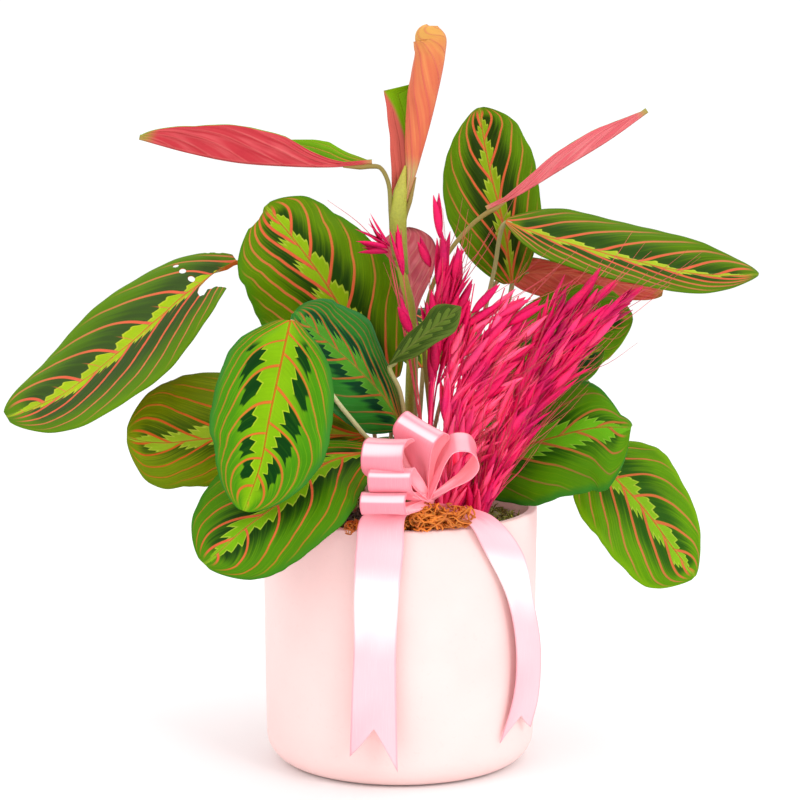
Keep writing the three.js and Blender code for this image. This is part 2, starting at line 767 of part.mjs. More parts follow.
const tails = [
  {
    name: 'ribbon_tail_left',
    left: [[9, -67, 142], [-6, -69, 143], [-18.5, -72, 140], [-21.5, -74, 124], [-22.6, -74, 100],
      [-22.6, -75, 75], [-23.6, -76, 52], [-24.7, -78, 21]],
    right: [[11, -68, 141], [7, -71, 142], [2.8, -74, 140], [1.8, -74.5, 124], [-0.6, -74.5, 100],
      [-1.8, -75, 75], [-1.8, -76, 52], [-1.1, -78, 13]],
  },
  {
    name: 'ribbon_tail_right',
    left: [[18, -67, 144], [26, -68, 144], [33, -67, 138], [41, -60, 121], [53, -51, 95],
      [58, -46, 68], [57, -46, 44], [50, -50, 20]],
    right: [[18.5, -64, 145], [34, -62, 145.5], [47, -57, 139], [61.5, -44, 117], [66.6, -34, 91],
      [71, -28, 64], [70, -29, 39], [66, -34, 24]],
  },
];

// ---------------------------------------------------------------------------------------------------
// Coir: a tuft of coarse fibres under the bow, some of them lying over the rim

function coirCoreSolid(margin) {
  const core = new THREE.SphereGeometry(1, 12, 6);
  core.rotateX(Math.PI / 2);
  core.scale(...coirCore.size.map((size) => size + margin));
  core.translate(...coirCore.centre);
  return solidOf(core);
}

function coirSolid(holes) {
  const random = randomFrom(23);
  const [x, y, z] = coirCore.centre;
  const fibres = [];
  for (let i = 0; i < coirFibres; i += 1) {
    const side = (2 * (i + random())) / coirFibres - 1;
    const start = [x + 20 * side, y - 2, z + 3];
    const over = [start[0] + 8 * (random() - 0.5), y - 8 - 3 * random(), z + 7 + 4 * random()];
    const tip = [over[0] + 14 * (random() - 0.5), coirReach - 2 * random(), z + 3 + 5 * random()];
    fibres.push(tube([start, over, tip], coirRadius, 3, 1));
  }
  const whole = joined([coirCoreSolid(0), ...fibres]);
  return holes.reduce((coir, hole) => coir.subtract(hole), whole);
}

// ---------------------------------------------------------------------------------------------------
// Oats: each head is a few stalks from one root, with long pointed spikelets along their upper part

const oatHeads = [
  {
    name: 'oats_right',
    root: [38, -44],
    lean: 0.5,
    tips: [[57, -32, 210], [66, -26, 222], [77, -22, 229], [92, -20, 234], [106, -18, 233],
      [116, -20, 227], [103, -26, 214], [86, -32, 200]],
    spikelets: 5,
    from: 0.4,
    seed: 5,
  },
  {
    name: 'oats_middle',
    root: [22, -42],
    lean: 0.4,
    tips: [[26, -24, 228], [35, -20, 237], [46, -18, 240], [55, -19, 230], [24, -30, 206], [39, -26, 219]],
    spikelets: 5,
    from: 0.35,
    seed: 8,
  },
  {
    name: 'oats_left',
    root: [14, -34],
    lean: 0.1,
    tips: [[-19, -16, 256], [19, -14, 280], [1, -15, 268], [-10, -20, 234], [24, -14, 256]],
    spikelets: 2,
    from: 0.8,
    seed: 3,
  },
];

function spikeletSolid(start, direction, length) {
  const shape = new THREE.OctahedronGeometry(1);
  shape.scale(spikeletWidth / 2, spikeletWidth / 2.6, length / 2);
  shape.translate(0, 0, length / 2 - 1.2);
  const turn = new THREE.Quaternion().setFromUnitVectors(new THREE.Vector3(0, 0, 1), direction);
  shape.applyQuaternion(turn);
  shape.translate(...start.toArray());
  return solidOf(shape);
}

function oatSolid(head) {
  const random = randomFrom(head.seed);
  const [x, y] = head.root;
  const pieces = [];
  for (const tip of head.tips) {
    const middle = [
      x + (tip[0] - x) * head.lean,
      y + (tip[1] - y) * 0.35,
      soilTop + (tip[2] - soilTop) * 0.55,
    ];
    const points = [[x, y, soilTop - stalkDepth / 2], [x, y, soilTop + oatRise], middle, tip];
    pieces.push(tube(points, oatStalkRadius, 3, 1));
    const curve = curveThrough(points);
    for (let i = 0; i < head.spikelets; i += 1) {
      const share = head.from + ((1 - head.from) * (i + 0.8)) / head.spikelets;
      const tangent = curve.getTangentAt(Math.min(share, 1));
      const turn = random() * 2 * Math.PI;
      const outward = new THREE.Vector3(Math.cos(turn), 0.7 * Math.sin(turn), 0.3);
      const direction = tangent.clone().addScaledVector(outward, spikeletLean).normalize();
      const length = spikeletLength * (0.8 + 0.4 * random());
      pieces.push(spikeletSolid(curve.getPointAt(Math.min(share, 1)), direction, length));
    }
  }
  const core = new THREE.CylinderGeometry(oatCore.top, oatCore.foot, oatCore.length, holeSides);
  core.rotateX(Math.PI / 2);
  core.translate(x, y, soilTop - stalkDepth + oatCore.length / 2);
  return joined([solidOf(core), ...pieces]);
}

// ---------------------------------------------------------------------------------------------------

const group = new THREE.Group();

function addMesh(name, solid, colour, roughness) {
  const mesh = new THREE.Mesh(geometryOf(solid), material(colour, roughness));
  mesh.name = name;
  group.add(mesh);
}

const holes = [
  ...leaves.map((leaf) => holeFor(leaf.stalk[0], stalkRadius + stalkHole)),
  ...oatHeads.map((head) => holeFor(head.root, oatCore.foot + stalkHole)),
  holeFor(stemRoot, stemRadius + stalkHole),
];

addMesh('pot', potSolid(), colours.ceramic, 0.6);
addMesh('soil', soilSolid(holes), colours.soil, 0.95);
addMesh('moss', mossSolid([...holes, coirCoreSolid(2 * clearance)]), colours.moss, 0.95);
addMesh('coir_fibres', coirSolid(holes), colours.coir, 0.9);
for (const leaf of leaves) addMesh(leaf.name, leafSolid(leaf), colours.leaf, 0.45);
addMesh('leafy_stem', stemSolid(), colours.redLeaf, 0.45);
for (const head of oatHeads) addMesh(head.name, oatSolid(head), colours.oats, 0.7);
addMesh('ribbon_bow', bowSolid(), colours.ribbon, 0.3);
for (const tail of tails) {
  const strip = stripSolid(tail.left, tail.right, tailRows, tailColumns, tailNotch);
  addMesh(tail.name, strip, colours.ribbon, 0.3);
}

export default group;
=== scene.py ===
"""A red-veined maranta in a round ceramic pot, with a bunch of dyed dried oats and a satin ribbon bow.

The places of leaves, stalks, oats and ribbon are in millimetres, as in the part's solids, and MM turns them
into metres. +Z is up, the origin is the centre of the pot's flat base, and the bow hangs on the -Y side.
Colours are red, green and blue as seen on screen, 0 to 255.
"""
import math
from types import SimpleNamespace

import bmesh
import bpy
import numpy as np
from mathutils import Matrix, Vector


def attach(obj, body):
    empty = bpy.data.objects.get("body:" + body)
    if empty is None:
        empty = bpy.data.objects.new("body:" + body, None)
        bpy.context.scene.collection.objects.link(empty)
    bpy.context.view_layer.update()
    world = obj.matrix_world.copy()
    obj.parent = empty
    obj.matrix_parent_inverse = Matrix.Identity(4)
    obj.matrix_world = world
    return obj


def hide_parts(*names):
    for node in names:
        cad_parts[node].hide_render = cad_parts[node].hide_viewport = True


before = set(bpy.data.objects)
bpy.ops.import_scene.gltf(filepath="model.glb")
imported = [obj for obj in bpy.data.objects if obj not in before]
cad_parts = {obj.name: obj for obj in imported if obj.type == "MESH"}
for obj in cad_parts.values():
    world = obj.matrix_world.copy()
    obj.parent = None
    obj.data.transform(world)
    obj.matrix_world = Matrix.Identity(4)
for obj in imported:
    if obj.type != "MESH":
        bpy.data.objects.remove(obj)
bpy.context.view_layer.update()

MM = 0.001

# Pot and what fills it
POT_HEIGHT = 132
RIM_RADIUS = 70
FOOT_RADIUS = 68.6
FOOT_ROUNDING = 15
POT_WALL = 4.5
POT_FLOOR = 6
RIM_ROUNDING = 1.2
POT_SIDES = 160
SOIL_TOP = 119
SOIL_MOUND = 5
SOIL_LUMPS = 0.7
SOIL_CRUMBS = 420
MOSS_INNER = 40
MOSS_THICKNESS = 4
MOSS_SPRIGS = 1500
MOSS_HEAPS = (((-26, -54, 128), (13, 8, 6.5), 200), ((54, -30, 126), (14, 10, 7), 220))
COIR_CENTRE = (11, -51, 131)
COIR_SIZE = (23, 8, 8.5)
COIR_FRONT = -71
COIR_FIBRES = 330
COIR_TUFTS = (((15, -70, 139), (11, 3, 7.5), 60), ((27, -66, 139), (10, 4, 6.5), 50),
              ((-4, -68, 136), (9, 4, 4), 30), ((-22, -63, 132), (6, 3, 4.5), 40))
COIR_STRAYS = 70

# Leaves
BLADE_START = 0.012
BLADE_END = 0.995
OUTLINE_FULLNESS = 0.62
MARGIN_WAVE = 1.2
MARGIN_WAVES = 2
BLADE_THICKNESS = 0.5
BLADE_ROWS = 88
BLADE_COLUMNS = 44
LIFT_FROM = 0.75
VEIN_STAGGER = 0.42
PLEAT_HEIGHT = 0.55
STALK_RADIUS = 1.15
STALK_DEPTH = 12
STALK_RISE = 10
STEM_ROOT = (5, 8)
STEM_RADIUS = 2.5

# Ribbon. Its pleats are at their deepest where its edges are FULLY_PLEATED nearer each other than its width.
RIBBON_WIDTH = 22
RIBBON_THICKNESS = 0.35
RIBBON_GATHER = 2
PLEATS = 1.5
PLEAT_DEPTH = 1.1
FULLY_PLEATED = 7
TAIL_NOTCH = 0.07
NOTCH_FROM = 0.8

# Oats
OAT_STALK_RADIUS = 0.55
OAT_RISE = 12
SPIKELET_LENGTH = 22
SPIKELET_STEM = 2.2
HUSK_STEPS = 9
HUSK_SECTION = ((-1, 0), (-0.55, 0.42), (0, 0.6), (0.55, 0.42), (1, 0), (0, 0.28))


# ------------------------------------------------------------------------------------------------------
# Curves and meshes

class Curve:
    """A centripetal Catmull-Rom curve through points, evaluated for arrays of places from 0 to 1."""

    def __init__(self, points):
        points = np.array(points, float)
        first = 2 * points[0] - points[1]
        last = 2 * points[-1] - points[-2]
        self.points = np.vstack([first, points, last])
        self.spans = len(points) - 1

    def at(self, places):
        places = np.clip(np.asarray(places, float), 0, 1) * self.spans
        span = np.minimum(places.astype(int), self.spans - 1)
        share = (places - span)[..., None]
        before, start, end, after = (self.points[span + k] for k in range(4))
        steps = [np.sum((b - a) ** 2, -1, keepdims=True) ** 0.25
                 for a, b in ((before, start), (start, end), (end, after))]
        into = (start - before) / steps[0] - (end - before) / (steps[0] + steps[1]) + (end - start) / steps[1]
        out = (end - start) / steps[1] - (after - start) / (steps[1] + steps[2]) + (after - end) / steps[2]
        into, out = into * steps[1], out * steps[1]
        cubic = 2 * start - 2 * end + into + out
        square = -3 * start + 3 * end - 2 * into - out
        return ((cubic * share + square) * share + into) * share + start

    def tangent(self, places):
        places = np.asarray(places, float)
        return unit(self.at(np.minimum(places + 1e-4, 1)) - self.at(np.maximum(places - 1e-4, 0)))

    def length(self):
        return float(np.sum(np.linalg.norm(np.diff(self.at(np.linspace(0, 1, 201)), axis=0), axis=-1)))


def unit(vectors):
    return vectors / np.maximum(np.linalg.norm(vectors, axis=-1, keepdims=True), 1e-12)


def square_to(vectors, axis):
    """Unit vectors at right angles to axis, as near as can be to the given ones."""
    return unit(vectors - axis * np.sum(vectors * axis, -1, keepdims=True))


def along(values, places):
    """Numbers or vectors given at equal steps, at places from 0 to 1."""
    values = np.array(values, float)
    steps = np.linspace(0, 1, len(values))
    if values.ndim == 1:
        return np.interp(places, steps, values)
    return np.stack([np.interp(places, steps, values[:, k]) for k in range(values.shape[1])], -1)


def full_turn(sides):
    """Angles at equal steps round a circle."""
    return np.linspace(0, 2 * math.pi, sides, endpoint=False)


class Shape:
    """Vertices, faces, materials and maps of a piece that is put together from several bodies."""

    def __init__(self):
        self.vertices = []
        self.faces = []
        self.finishes = []
        self.maps = {}
        self.count = 0

    def add(self, vertices, faces, finish=0, maps=None):
        """finish is a material's place in the piece's list, or one for each face. maps holds, under each
        map's name, a pair of numbers for each vertex."""
        vertices = np.asarray(vertices, float).reshape(-1, 3)
        finishes = [finish] * len(faces) if isinstance(finish, int) else list(finish)
        for name, pairs in (maps or {}).items():
            self.maps.setdefault(name, []).append((self.count, np.asarray(pairs, float).reshape(-1, 2)))
        self.vertices.append(vertices)
        self.faces.extend([tuple(int(i) + self.count for i in face) for face in faces])
        self.finishes.extend(finishes)
        self.count += len(vertices)

    def mesh(self, name, materials=()):
        mesh = bpy.data.meshes.new(name)
        vertices = np.vstack(self.vertices) * MM
        mesh.from_pydata(vertices.tolist(), [], self.faces)
        for material in materials:
            mesh.materials.append(material)
        mesh.polygons.foreach_set("material_index", self.finishes)
        mesh.polygons.foreach_set("use_smooth", [True] * len(self.faces))
        corners = np.zeros(len(mesh.loops), int)
        mesh.loops.foreach_get("vertex_index", corners)
        for map_name, parts in self.maps.items():
            pairs = np.zeros((self.count, 2))
            for start, part in parts:
                pairs[start:start + len(part)] = part
            layer = mesh.uv_layers.new(name=map_name)
            layer.data.foreach_set("uv", pairs[corners].ravel())
        mesh.update()
        return mesh

    def piece(self, name, materials, slot, nodes=()):
        """The finished piece. nodes are the solids that it stands for."""
        piece = placed(name, self.mesh(name, materials))
        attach(piece, "root")
        if nodes:
            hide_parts(*nodes)
        return piece


def placed(name, content):
    """A new object in the scene that holds a mesh, a lamp or a camera."""
    holder = bpy.data.objects.new(name, content)
    bpy.context.scene.collection.objects.link(holder)
    return holder


def grid_faces(rows, columns, closed=False, ring=False):
    """Quads over a grid of rows x columns points. closed joins the last column to the first, and ring the
    last row to the first."""
    faces = []
    for i in range(rows if ring else rows - 1):
        below = (i + 1) % rows
        for j in range(columns if closed else columns - 1):
            k = (j + 1) % columns
            faces.append((i * columns + j, i * columns + k, below * columns + k, below * columns + j))
    return faces


def tube_faces(rows, sides):
    """Faces of a closed tube of rows rings, with a flat face at each end."""
    faces = grid_faces(rows, sides, closed=True)
    faces.append(tuple(reversed(range(sides))))
    faces.append(tuple((rows - 1) * sides + j for j in range(sides)))
    return faces


def sheet_normals(points):
    """The sheet's own thickness direction at points[rows, columns]."""
    forward, across = np.gradient(points, axis=0), np.gradient(points, axis=1)
    return unit(np.cross(across, forward))


def closed_sheet(shape, points, normals, thickness, finishes, maps):
    """A sheet of points[rows, columns] with an upper and a lower face and a rim round its margin. finishes
    are the places of the upper and the lower material."""
    rows, columns = points.shape[:2]
    count = rows * columns
    upper = grid_faces(rows, columns)
    lower = [tuple(count + i for i in reversed(face)) for face in upper]
    margin = list(range(columns - 1))
    margin += [i * columns + columns - 1 for i in range(rows - 1)]
    margin += [(rows - 1) * columns + j for j in range(columns - 1, 0, -1)]
    margin += [i * columns for i in range(rows - 1, 0, -1)]
    rim = [(b, a, count + a, count + b) for a, b in zip(margin, margin[1:] + margin[:1])]
    both = np.concatenate([points + normals * thickness / 2, points - normals * thickness / 2])
    doubled = {name: np.concatenate([pairs.reshape(-1, 2)] * 2) for name, pairs in maps.items()}
    marks = [finishes[0]] * len(upper) + [finishes[1]] * len(lower) + [finishes[0]] * len(rim)
    shape.add(both, upper + lower + rim, marks, doubled)


def tube(shape, points, radii, sides=10, steps=6, finish=0, tone=0.5, flat=1.0):
    """A closed round tube through points. radii are given at equal steps along it. Its map "strand" holds the
    place along it and its tone."""
    curve = Curve(points)
    places = np.linspace(0, 1, (len(points) - 1) * steps + 1)
    turns = full_turn(sides)[:, None]
    normal = np.array([1, 0.3, 0.2])
    rings = []
    for centre, tangent, radius in zip(curve.at(places), curve.tangent(places), along(radii, places)):
        normal = square_to(normal, tangent)
        other = np.cross(tangent, normal)
        rings.append(centre + radius * (np.cos(turns) * normal + flat * np.sin(turns) * other))
    strand = np.stack([np.repeat(places, sides), np.full(len(places) * sides, tone)], -1)
    shape.add(rings, tube_faces(len(places), sides), finish, {"strand": strand})


def spun(profile, sides):
    """Vertices and faces of a closed body turned about Z from (radius, height) points, both ends on Z."""
    inner = profile[1:-1]
    vertices = [(r * math.cos(a), r * math.sin(a), z) for r, z in inner for a in full_turn(sides)]
    faces = grid_faces(len(inner), sides, closed=True)
    first, last = len(vertices), len(vertices) + 1
    vertices += [(0, 0, profile[0][1]), (0, 0, profile[-1][1])]
    start = (len(inner) - 1) * sides
    for j in range(sides):
        k = (j + 1) % sides
        faces += [(first, k, j), (last, start + j, start + k)]
    return vertices, faces


def arc(centre_r, centre_z, radius, start, end, steps):
    """Points of a round stretch of a profile, from start to end degrees."""
    turns = [math.radians(start + (end - start) * i / steps) for i in range(steps + 1)]
    return [(centre_r + radius * math.cos(a), centre_z + radius * math.sin(a)) for a in turns]


# ------------------------------------------------------------------------------------------------------
# Shader nodes

def srgb(red, green, blue):
    """A colour as seen on screen as the linear colour that a shader takes."""
    def linear(value):
        share = value / 255
        return share / 12.92 if share <= 0.04045 else ((share + 0.055) / 1.055) ** 2.4

    return (linear(red), linear(green), linear(blue), 1)


def socket_name(name):
    """A value's name as its socket has it: dark_end is "Dark end"."""
    return name.replace("_", " ").capitalize()


class Value:
    """A node's output. Sums, products and comparisons of values add the nodes that work them out."""

    def __init__(self, nodes, socket):
        self.nodes = nodes
        self.socket = socket

    def __add__(self, other):
        return self.nodes.math("ADD", self, other)

    def __radd__(self, other):
        return self.nodes.math("ADD", other, self)

    def __sub__(self, other):
        return self.nodes.math("SUBTRACT", self, other)

    def __rsub__(self, other):
        return self.nodes.math("SUBTRACT", other, self)

    def __mul__(self, other):
        return self.nodes.math("MULTIPLY", self, other)

    def __truediv__(self, other):
        return self.nodes.math("DIVIDE", self, other)

    def __pow__(self, other):
        return self.nodes.math("POWER", self, other)

    def __lt__(self, other):
        return self.nodes.math("LESS_THAN", self, other)

    def __gt__(self, other):
        return self.nodes.math("GREATER_THAN", self, other)

    def __abs__(self):
        return self.nodes.math("ABSOLUTE", self)


class Nodes:
    """Adds nodes to a tree. What goes into them is a number, a colour or another node's value."""

    def __init__(self, tree):
        self.tree = tree

    def put(self, socket, value):
        if isinstance(value, Value):
            self.tree.links.new(value.socket, socket)
        else:
            socket.default_value = srgb(*value) if isinstance(value, tuple) else value

    def node(self, kind, inputs=None, **settings):
        node = self.tree.nodes.new("ShaderNode" + kind)
        for name, value in settings.items():
            setattr(node, name, value)
        for name, value in (inputs or {}).items():
            self.put(node.inputs[name], value)
        return node

    def value(self, node, output=0):
        return Value(self, node.outputs[output])

    def math(self, operation, *values):
        return self.value(self.node("Math", dict(enumerate(values)), operation=operation))

    def least(self, first, second):
        return self.math("MINIMUM", first, second)

    def most(self, first, second):
        return self.math("MAXIMUM", first, second)

    def step(self, value, low, high):
        """0 below low and 1 above high, smooth between; falls instead where low is above high."""
        inputs = {"Value": value, "From Min": low, "From Max": high}
        return self.value(self.node("MapRange", inputs, interpolation_type="SMOOTHSTEP"))

    def mix(self, share, first, second, blend="MIX"):
        inputs = {0: share, 6: first, 7: second}
        return self.value(self.node("Mix", inputs, data_type="RGBA", blend_type=blend), 2)

    def tinted(self, colour, light):
        """A colour made lighter or darker."""
        return self.mix(1.0, colour, self.vector(light, light, light), "MULTIPLY")

    def noise(self, vector, scale, detail=2.0, roughness=0.5):
        inputs = {"Vector": vector, "Scale": scale, "Detail": detail, "Roughness": roughness}
        return self.value(self.node("TexNoise", inputs), "Fac")

    def vector(self, x, y, z=0.0):
        return self.value(self.node("CombineXYZ", {"X": x, "Y": y, "Z": z}))

    def parts(self, vector):
        node = self.node("SeparateXYZ", {"Vector": vector})
        return [Value(self, output) for output in node.outputs]

    def map(self, name):
        """Both numbers of a map, and a nought."""
        return self.parts(self.value(self.node("UVMap", uv_map=name)))

    def place(self):
        return self.value(self.node("TexCoord"), "Object")


class Group(Nodes):
    """A shader node group that puts out a colour, a height for bump, a roughness, and more where it says so.
    values names its inputs, with the value that each has where a material gives none."""

    def __init__(self, name, values, more=()):
        super().__init__(bpy.data.node_groups.new(name, "ShaderNodeTree"))
        for title, value in values.items():
            kind = "NodeSocketColor" if isinstance(value, tuple) else "NodeSocketFloat"
            socket = self.tree.interface.new_socket(socket_name(title), in_out="INPUT", socket_type=kind)
            self.put(socket, value)
        for title in ("Colour", "Height", "Roughness", *more):
            kind = "NodeSocketColor" if title == "Colour" else "NodeSocketFloat"
            self.tree.interface.new_socket(title, in_out="OUTPUT", socket_type=kind)
        source = self.tree.nodes.new("NodeGroupInput").outputs
        self.look = SimpleNamespace(**{title: Value(self, source[socket_name(title)]) for title in values})
        self.result = self.tree.nodes.new("NodeGroupOutput").inputs

    def give(self, **results):
        for title, value in results.items():
            self.put(self.result[title.capitalize()], value)


class Finish(Nodes):
    """A material with a Principled shader. shader holds the plain values that are set on its own sockets."""

    def __init__(self, name, **shader):
        self.material = bpy.data.materials.new(name)
        self.material.use_nodes = True
        super().__init__(self.material.node_tree)
        self.sockets = self.tree.nodes["Principled BSDF"].inputs
        for title, value in shader.items():
            self.sockets[title.replace("_", " ")].default_value = value

    def give(self, colour, roughness):
        self.put(self.sockets["Base Color"], colour)
        self.put(self.sockets["Roughness"], roughness)

    def bump(self, height, distance):
        node = self.node("Bump", {"Height": height, "Distance": distance, "Strength": 1.0})
        self.put(self.sockets["Normal"], self.value(node, "Normal"))

    def use(self, group, look, bump_distance):
        """Takes its colour, roughness and bump from a group, with this material's own values."""
        inputs = {socket_name(title): value for title, value in look.items()}
        node = self.node("Group", node_tree=group.tree)
        for title, value in inputs.items():
            self.put(node.inputs[title], value)
        self.give(self.value(node, "Colour"), self.value(node, "Roughness"))
        self.bump(self.value(node, "Height"), bump_distance)
        return node


# ------------------------------------------------------------------------------------------------------
# Materials

PATTERN = dict(
    veins=6.6, vein_shift=0.0, vein_width=1.2, hair=0.0, seed=0.0,
    band=0.24, left_band=1.0, lobes=0.6, taper=0.1, band_fade=0.02, teeth=2.6, tooth_size=0.06,
    dark_end=0.62, dark_softness=0.2, dark_amount=1.0, dark_reach=1.0, dark_start=0.04, dark_stop=0.95,
    ground=(78, 132, 10), margin=(86, 142, 22), dark=(20, 62, 6), lime=(142, 186, 16), rim=(196, 212, 70),
    vein_colour=(234, 104, 62), vein_outer=(230, 134, 70), midrib=(222, 116, 46), streak=(116, 158, 14),
    streak_amount=0.45, depth=1.0)
UNDERSIDE = dict(
    veins=6.6, seed=0.0, ground=(196, 70, 84), pale=(236, 140, 150), deep=(150, 36, 60),
    edge=(140, 160, 70), edge_start=0.95, tip_start=0.93, base=(170, 176, 80), base_stop=0.06,
    vein_colour=(224, 150, 130), vein_strength=0.6, scallops=0.5, depth=1.0)
STRAND = dict(
    root=(200, 205, 150), tip=(150, 170, 60), dark=(90, 110, 40), grain=0.3, other=(200, 205, 150),
    other_share=0.0, tones=0.4)
# bright is the colour of the painted highlights and of the lighter floats; deep is the colour of the painted
# shade at a tail's start as well as of darker tones and the selvedge.
SATIN = dict(
    face=(250, 190, 200), deep=(240, 120, 144), bright=(255, 240, 240), crest=0.8, shaded_length=0.0,
    sheen_place=0.07, sheen_width=0.02, sheen=0.0)


def leaf_place(n, patch_scale):
    """Where a point lies on a leaf. Map "blade" holds the place along and across it, map "veins" the place
    along the midrib where the side vein there begins and the veins' distance apart, and map "size" the
    distances along and across it in decimetres."""
    u, v, _ = n.map("blade")
    begin, pitch, _ = n.map("veins")
    x, y, _ = n.map("size")
    across = v * 2.0 - 1.0
    left = across < 0.0
    return SimpleNamespace(
        u=u, begin=begin, across=across, share=abs(across), left=left,
        cells=begin * n.look.veins + left * VEIN_STAGGER,
        apart=pitch * 100.0 / n.look.veins,
        offset=abs(y) * 100.0,
        patches=n.noise(n.vector(x * patch_scale, y * patch_scale, n.look.seed), 1.0, 3.0))


def maranta_pattern():
    """The upper face of a leaf: a lime band along the midrib, a dark zone beside it, and red side veins."""
    n = Group("maranta pattern", PATTERN)
    look, leaf = n.look, leaf_place(n, 6.0)
    u, begin, share, left, seed = leaf.u, leaf.begin, leaf.share, leaf.left, look.seed
    wander = n.noise(n.vector(u * 3.0, leaf.across * 1.3, seed), 1.0) - 0.5
    cells = leaf.cells + look.vein_shift + wander * 0.12
    cell = n.math("FRACT", cells)
    which = n.math("FLOOR", cells) + left * 31.0 + seed * 7.0
    random = n.node("TexWhiteNoise", {"W": which}, noise_dimensions="1D")
    first, second, third = n.parts(n.value(random, "Color"))

    # Side veins, thinner towards the margin, with a hair-fine one between them over the band
    nearest = n.least(cell, 1.0 - cell) * leaf.apart
    half = look.vein_width * (0.56 - share * 0.3)
    vein = n.step(nearest, half + 0.16, half - 0.16) * n.step(share, 0.97, 0.8) * n.step(u, 0.99, 0.93)
    middle = abs(cell - (0.4 + first * 0.2)) * leaf.apart

    # Fine striations that run with the side veins
    lines = n.noise(n.vector(begin * 62.0, share * 1.6, seed + left * 5.0), 1.0, 3.0)
    threads = n.noise(n.vector(begin * 190.0, share * 3.0, seed + left), 1.0, 1.0)

    # The lime band: lobes between the side veins, with teeth that point along the veins
    toothed = n.math("FRACT", cell * (look.teeth + second * 0.8) + third * 0.3)
    tooth = n.least(toothed / 0.62, (1.0 - toothed) / 0.38)
    lobe = n.step(cell, -0.06, 0.26) * (1.0 - cell) ** 0.75 * 1.35
    ends = n.step(u, -0.02, 0.16) * n.step(u, 1.0, 0.84)
    narrow = 1.0 - left * (1.0 - look.left_band)
    width = look.band * narrow * (1.0 - look.taper * u) * (1.0 - look.lobes * (1.0 - lobe))
    width = width + (first - 0.5) * 0.05 + (lines - 0.5) * 0.04 + look.tooth_size * (tooth - 0.4)
    width = n.most(width, 0.03) * (0.3 + ends * 0.7)
    inside = n.step(share, width + 0.01, width - 0.01)
    ragged = share + (lines - 0.5) * 0.3
    melting = n.step(look.band_fade, 0.1, 0.2)
    glowing = n.step(ragged, width + look.band_fade, width * (1.0 - melting * 0.6))
    lime = n.most(inside * (1.0 - melting), glowing * 0.9)

    # The dark zone beside the band: one zone, or a lobed blotch behind each side vein
    soft = look.dark_softness
    dark_end = (look.dark_end * (1.0 - look.taper * u * 0.7) + (second - 0.5) * 0.08
                + look.tooth_size * (tooth - 0.4) * -0.8)
    rough_edge = share + (lines - 0.5) * (soft * 1.2 + 0.05)
    outer = n.step(rough_edge, dark_end + soft, dark_end - soft)
    reach = n.step(cell + tooth * 0.12, look.dark_reach + 0.03, look.dark_reach - 0.02)
    reach = n.most(reach, look.dark_reach > 0.99)
    stretch = (n.step(u, look.dark_start, look.dark_start + 0.06)
               * n.step(u, look.dark_stop, look.dark_stop - 0.06))
    dark = (1.0 - inside) * outer * reach * stretch * look.dark_amount
    rim = n.step(abs(share - (width - 0.012)), 0.024, 0.0) * stretch * reach * inside * 0.7

    # From the ground colour up to the midrib
    colour = n.mix(n.step(lines, 0.48, 0.72) * look.streak_amount, look.ground, look.streak)
    colour = n.mix(n.step(share, 0.84, 0.97), colour, look.margin)
    colour = n.mix(lime, colour, look.lime)
    shade = n.mix(n.step(lines, 0.45, 0.8) * 0.2, look.dark, look.ground)
    colour = n.mix(dark, colour, shade)
    colour = n.mix(rim, colour, look.rim)
    hair = n.step(middle, 0.4, 0.1) * n.step(share, width + 0.12, width - 0.05)
    colour = n.mix(hair * look.hair, colour, look.vein_colour)
    glow = n.step(nearest, half + 0.5, half) * n.step(share, 0.9, 0.6) * 0.25
    colour = n.mix(glow, colour, look.streak)
    vein_colour = n.mix(n.step(share, 0.25, 0.8), look.vein_colour, look.vein_outer)
    colour = n.mix(vein * (1.0 - n.step(share, 0.3, 1.0) * 0.35), colour, vein_colour)
    thick = 0.35 + n.step(u, 1.0, 0.1) * 0.35
    midrib = n.step(leaf.offset, thick, thick - 0.3)
    colour = n.mix(n.step(leaf.offset, thick + 0.9, thick) * 0.25, colour, look.rim)
    colour = n.mix(midrib * n.step(u, 0.98, 0.8) * 0.9, colour, look.midrib)
    light = (0.58 + threads * 0.16 + leaf.patches * 0.28) * look.depth
    n.give(colour=n.tinted(colour, light),
           height=vein * 0.55 + midrib * 0.8 + threads * 0.22 + lines * 0.25,
           roughness=0.34 + leaf.patches * 0.14 + threads * 0.12)
    return n


def maranta_underside():
    """The lower face of a leaf: rosy, with scalloped arcs between the side veins."""
    n = Group("maranta underside", UNDERSIDE)
    look, leaf = n.look, leaf_place(n, 5.0)
    share = leaf.share
    cell = n.math("FRACT", leaf.cells)
    nearest = n.least(cell, 1.0 - cell) * leaf.apart
    lines = n.noise(n.vector(leaf.begin * 15.0, share * 1.3, look.seed + leaf.left), 1.0, 2.0)
    arcs = 0.35 + n.math("SINE", cell * math.pi) * 0.3 + (lines - 0.5) * 0.3
    arcs = n.step(abs(share - arcs), 0.14, 0.02) * look.scallops
    colour = n.mix(n.step(lines, 0.42, 0.78) * 0.7, look.ground, look.pale)
    colour = n.mix(n.step(leaf.patches, 0.55, 0.75) * 0.5, colour, look.deep)
    colour = n.mix(arcs, colour, look.pale)
    edge = n.step(share + (lines - 0.5) * 0.05, look.edge_start, 1.0)
    colour = n.mix(n.most(edge, n.step(leaf.u, look.tip_start, 1.0)), colour, look.edge)
    base = n.step(leaf.u + (lines - 0.5) * 0.08, look.base_stop, look.base_stop - 0.08)
    colour = n.mix(base, colour, look.base)
    vein = n.step(nearest, 0.55, 0.25) * n.step(share, 0.98, 0.8)
    midrib = n.step(leaf.offset, 1.3, 0.9)
    colour = n.mix(n.most(vein, midrib) * look.vein_strength, colour, look.vein_colour)
    light = (0.74 + lines * 0.12 + leaf.patches * 0.16) * look.depth
    n.give(colour=n.tinted(colour, light), height=vein * 0.5 + midrib * 0.8 + lines * 0.5,
           roughness=0.42 + leaf.patches * 0.16)
    return n


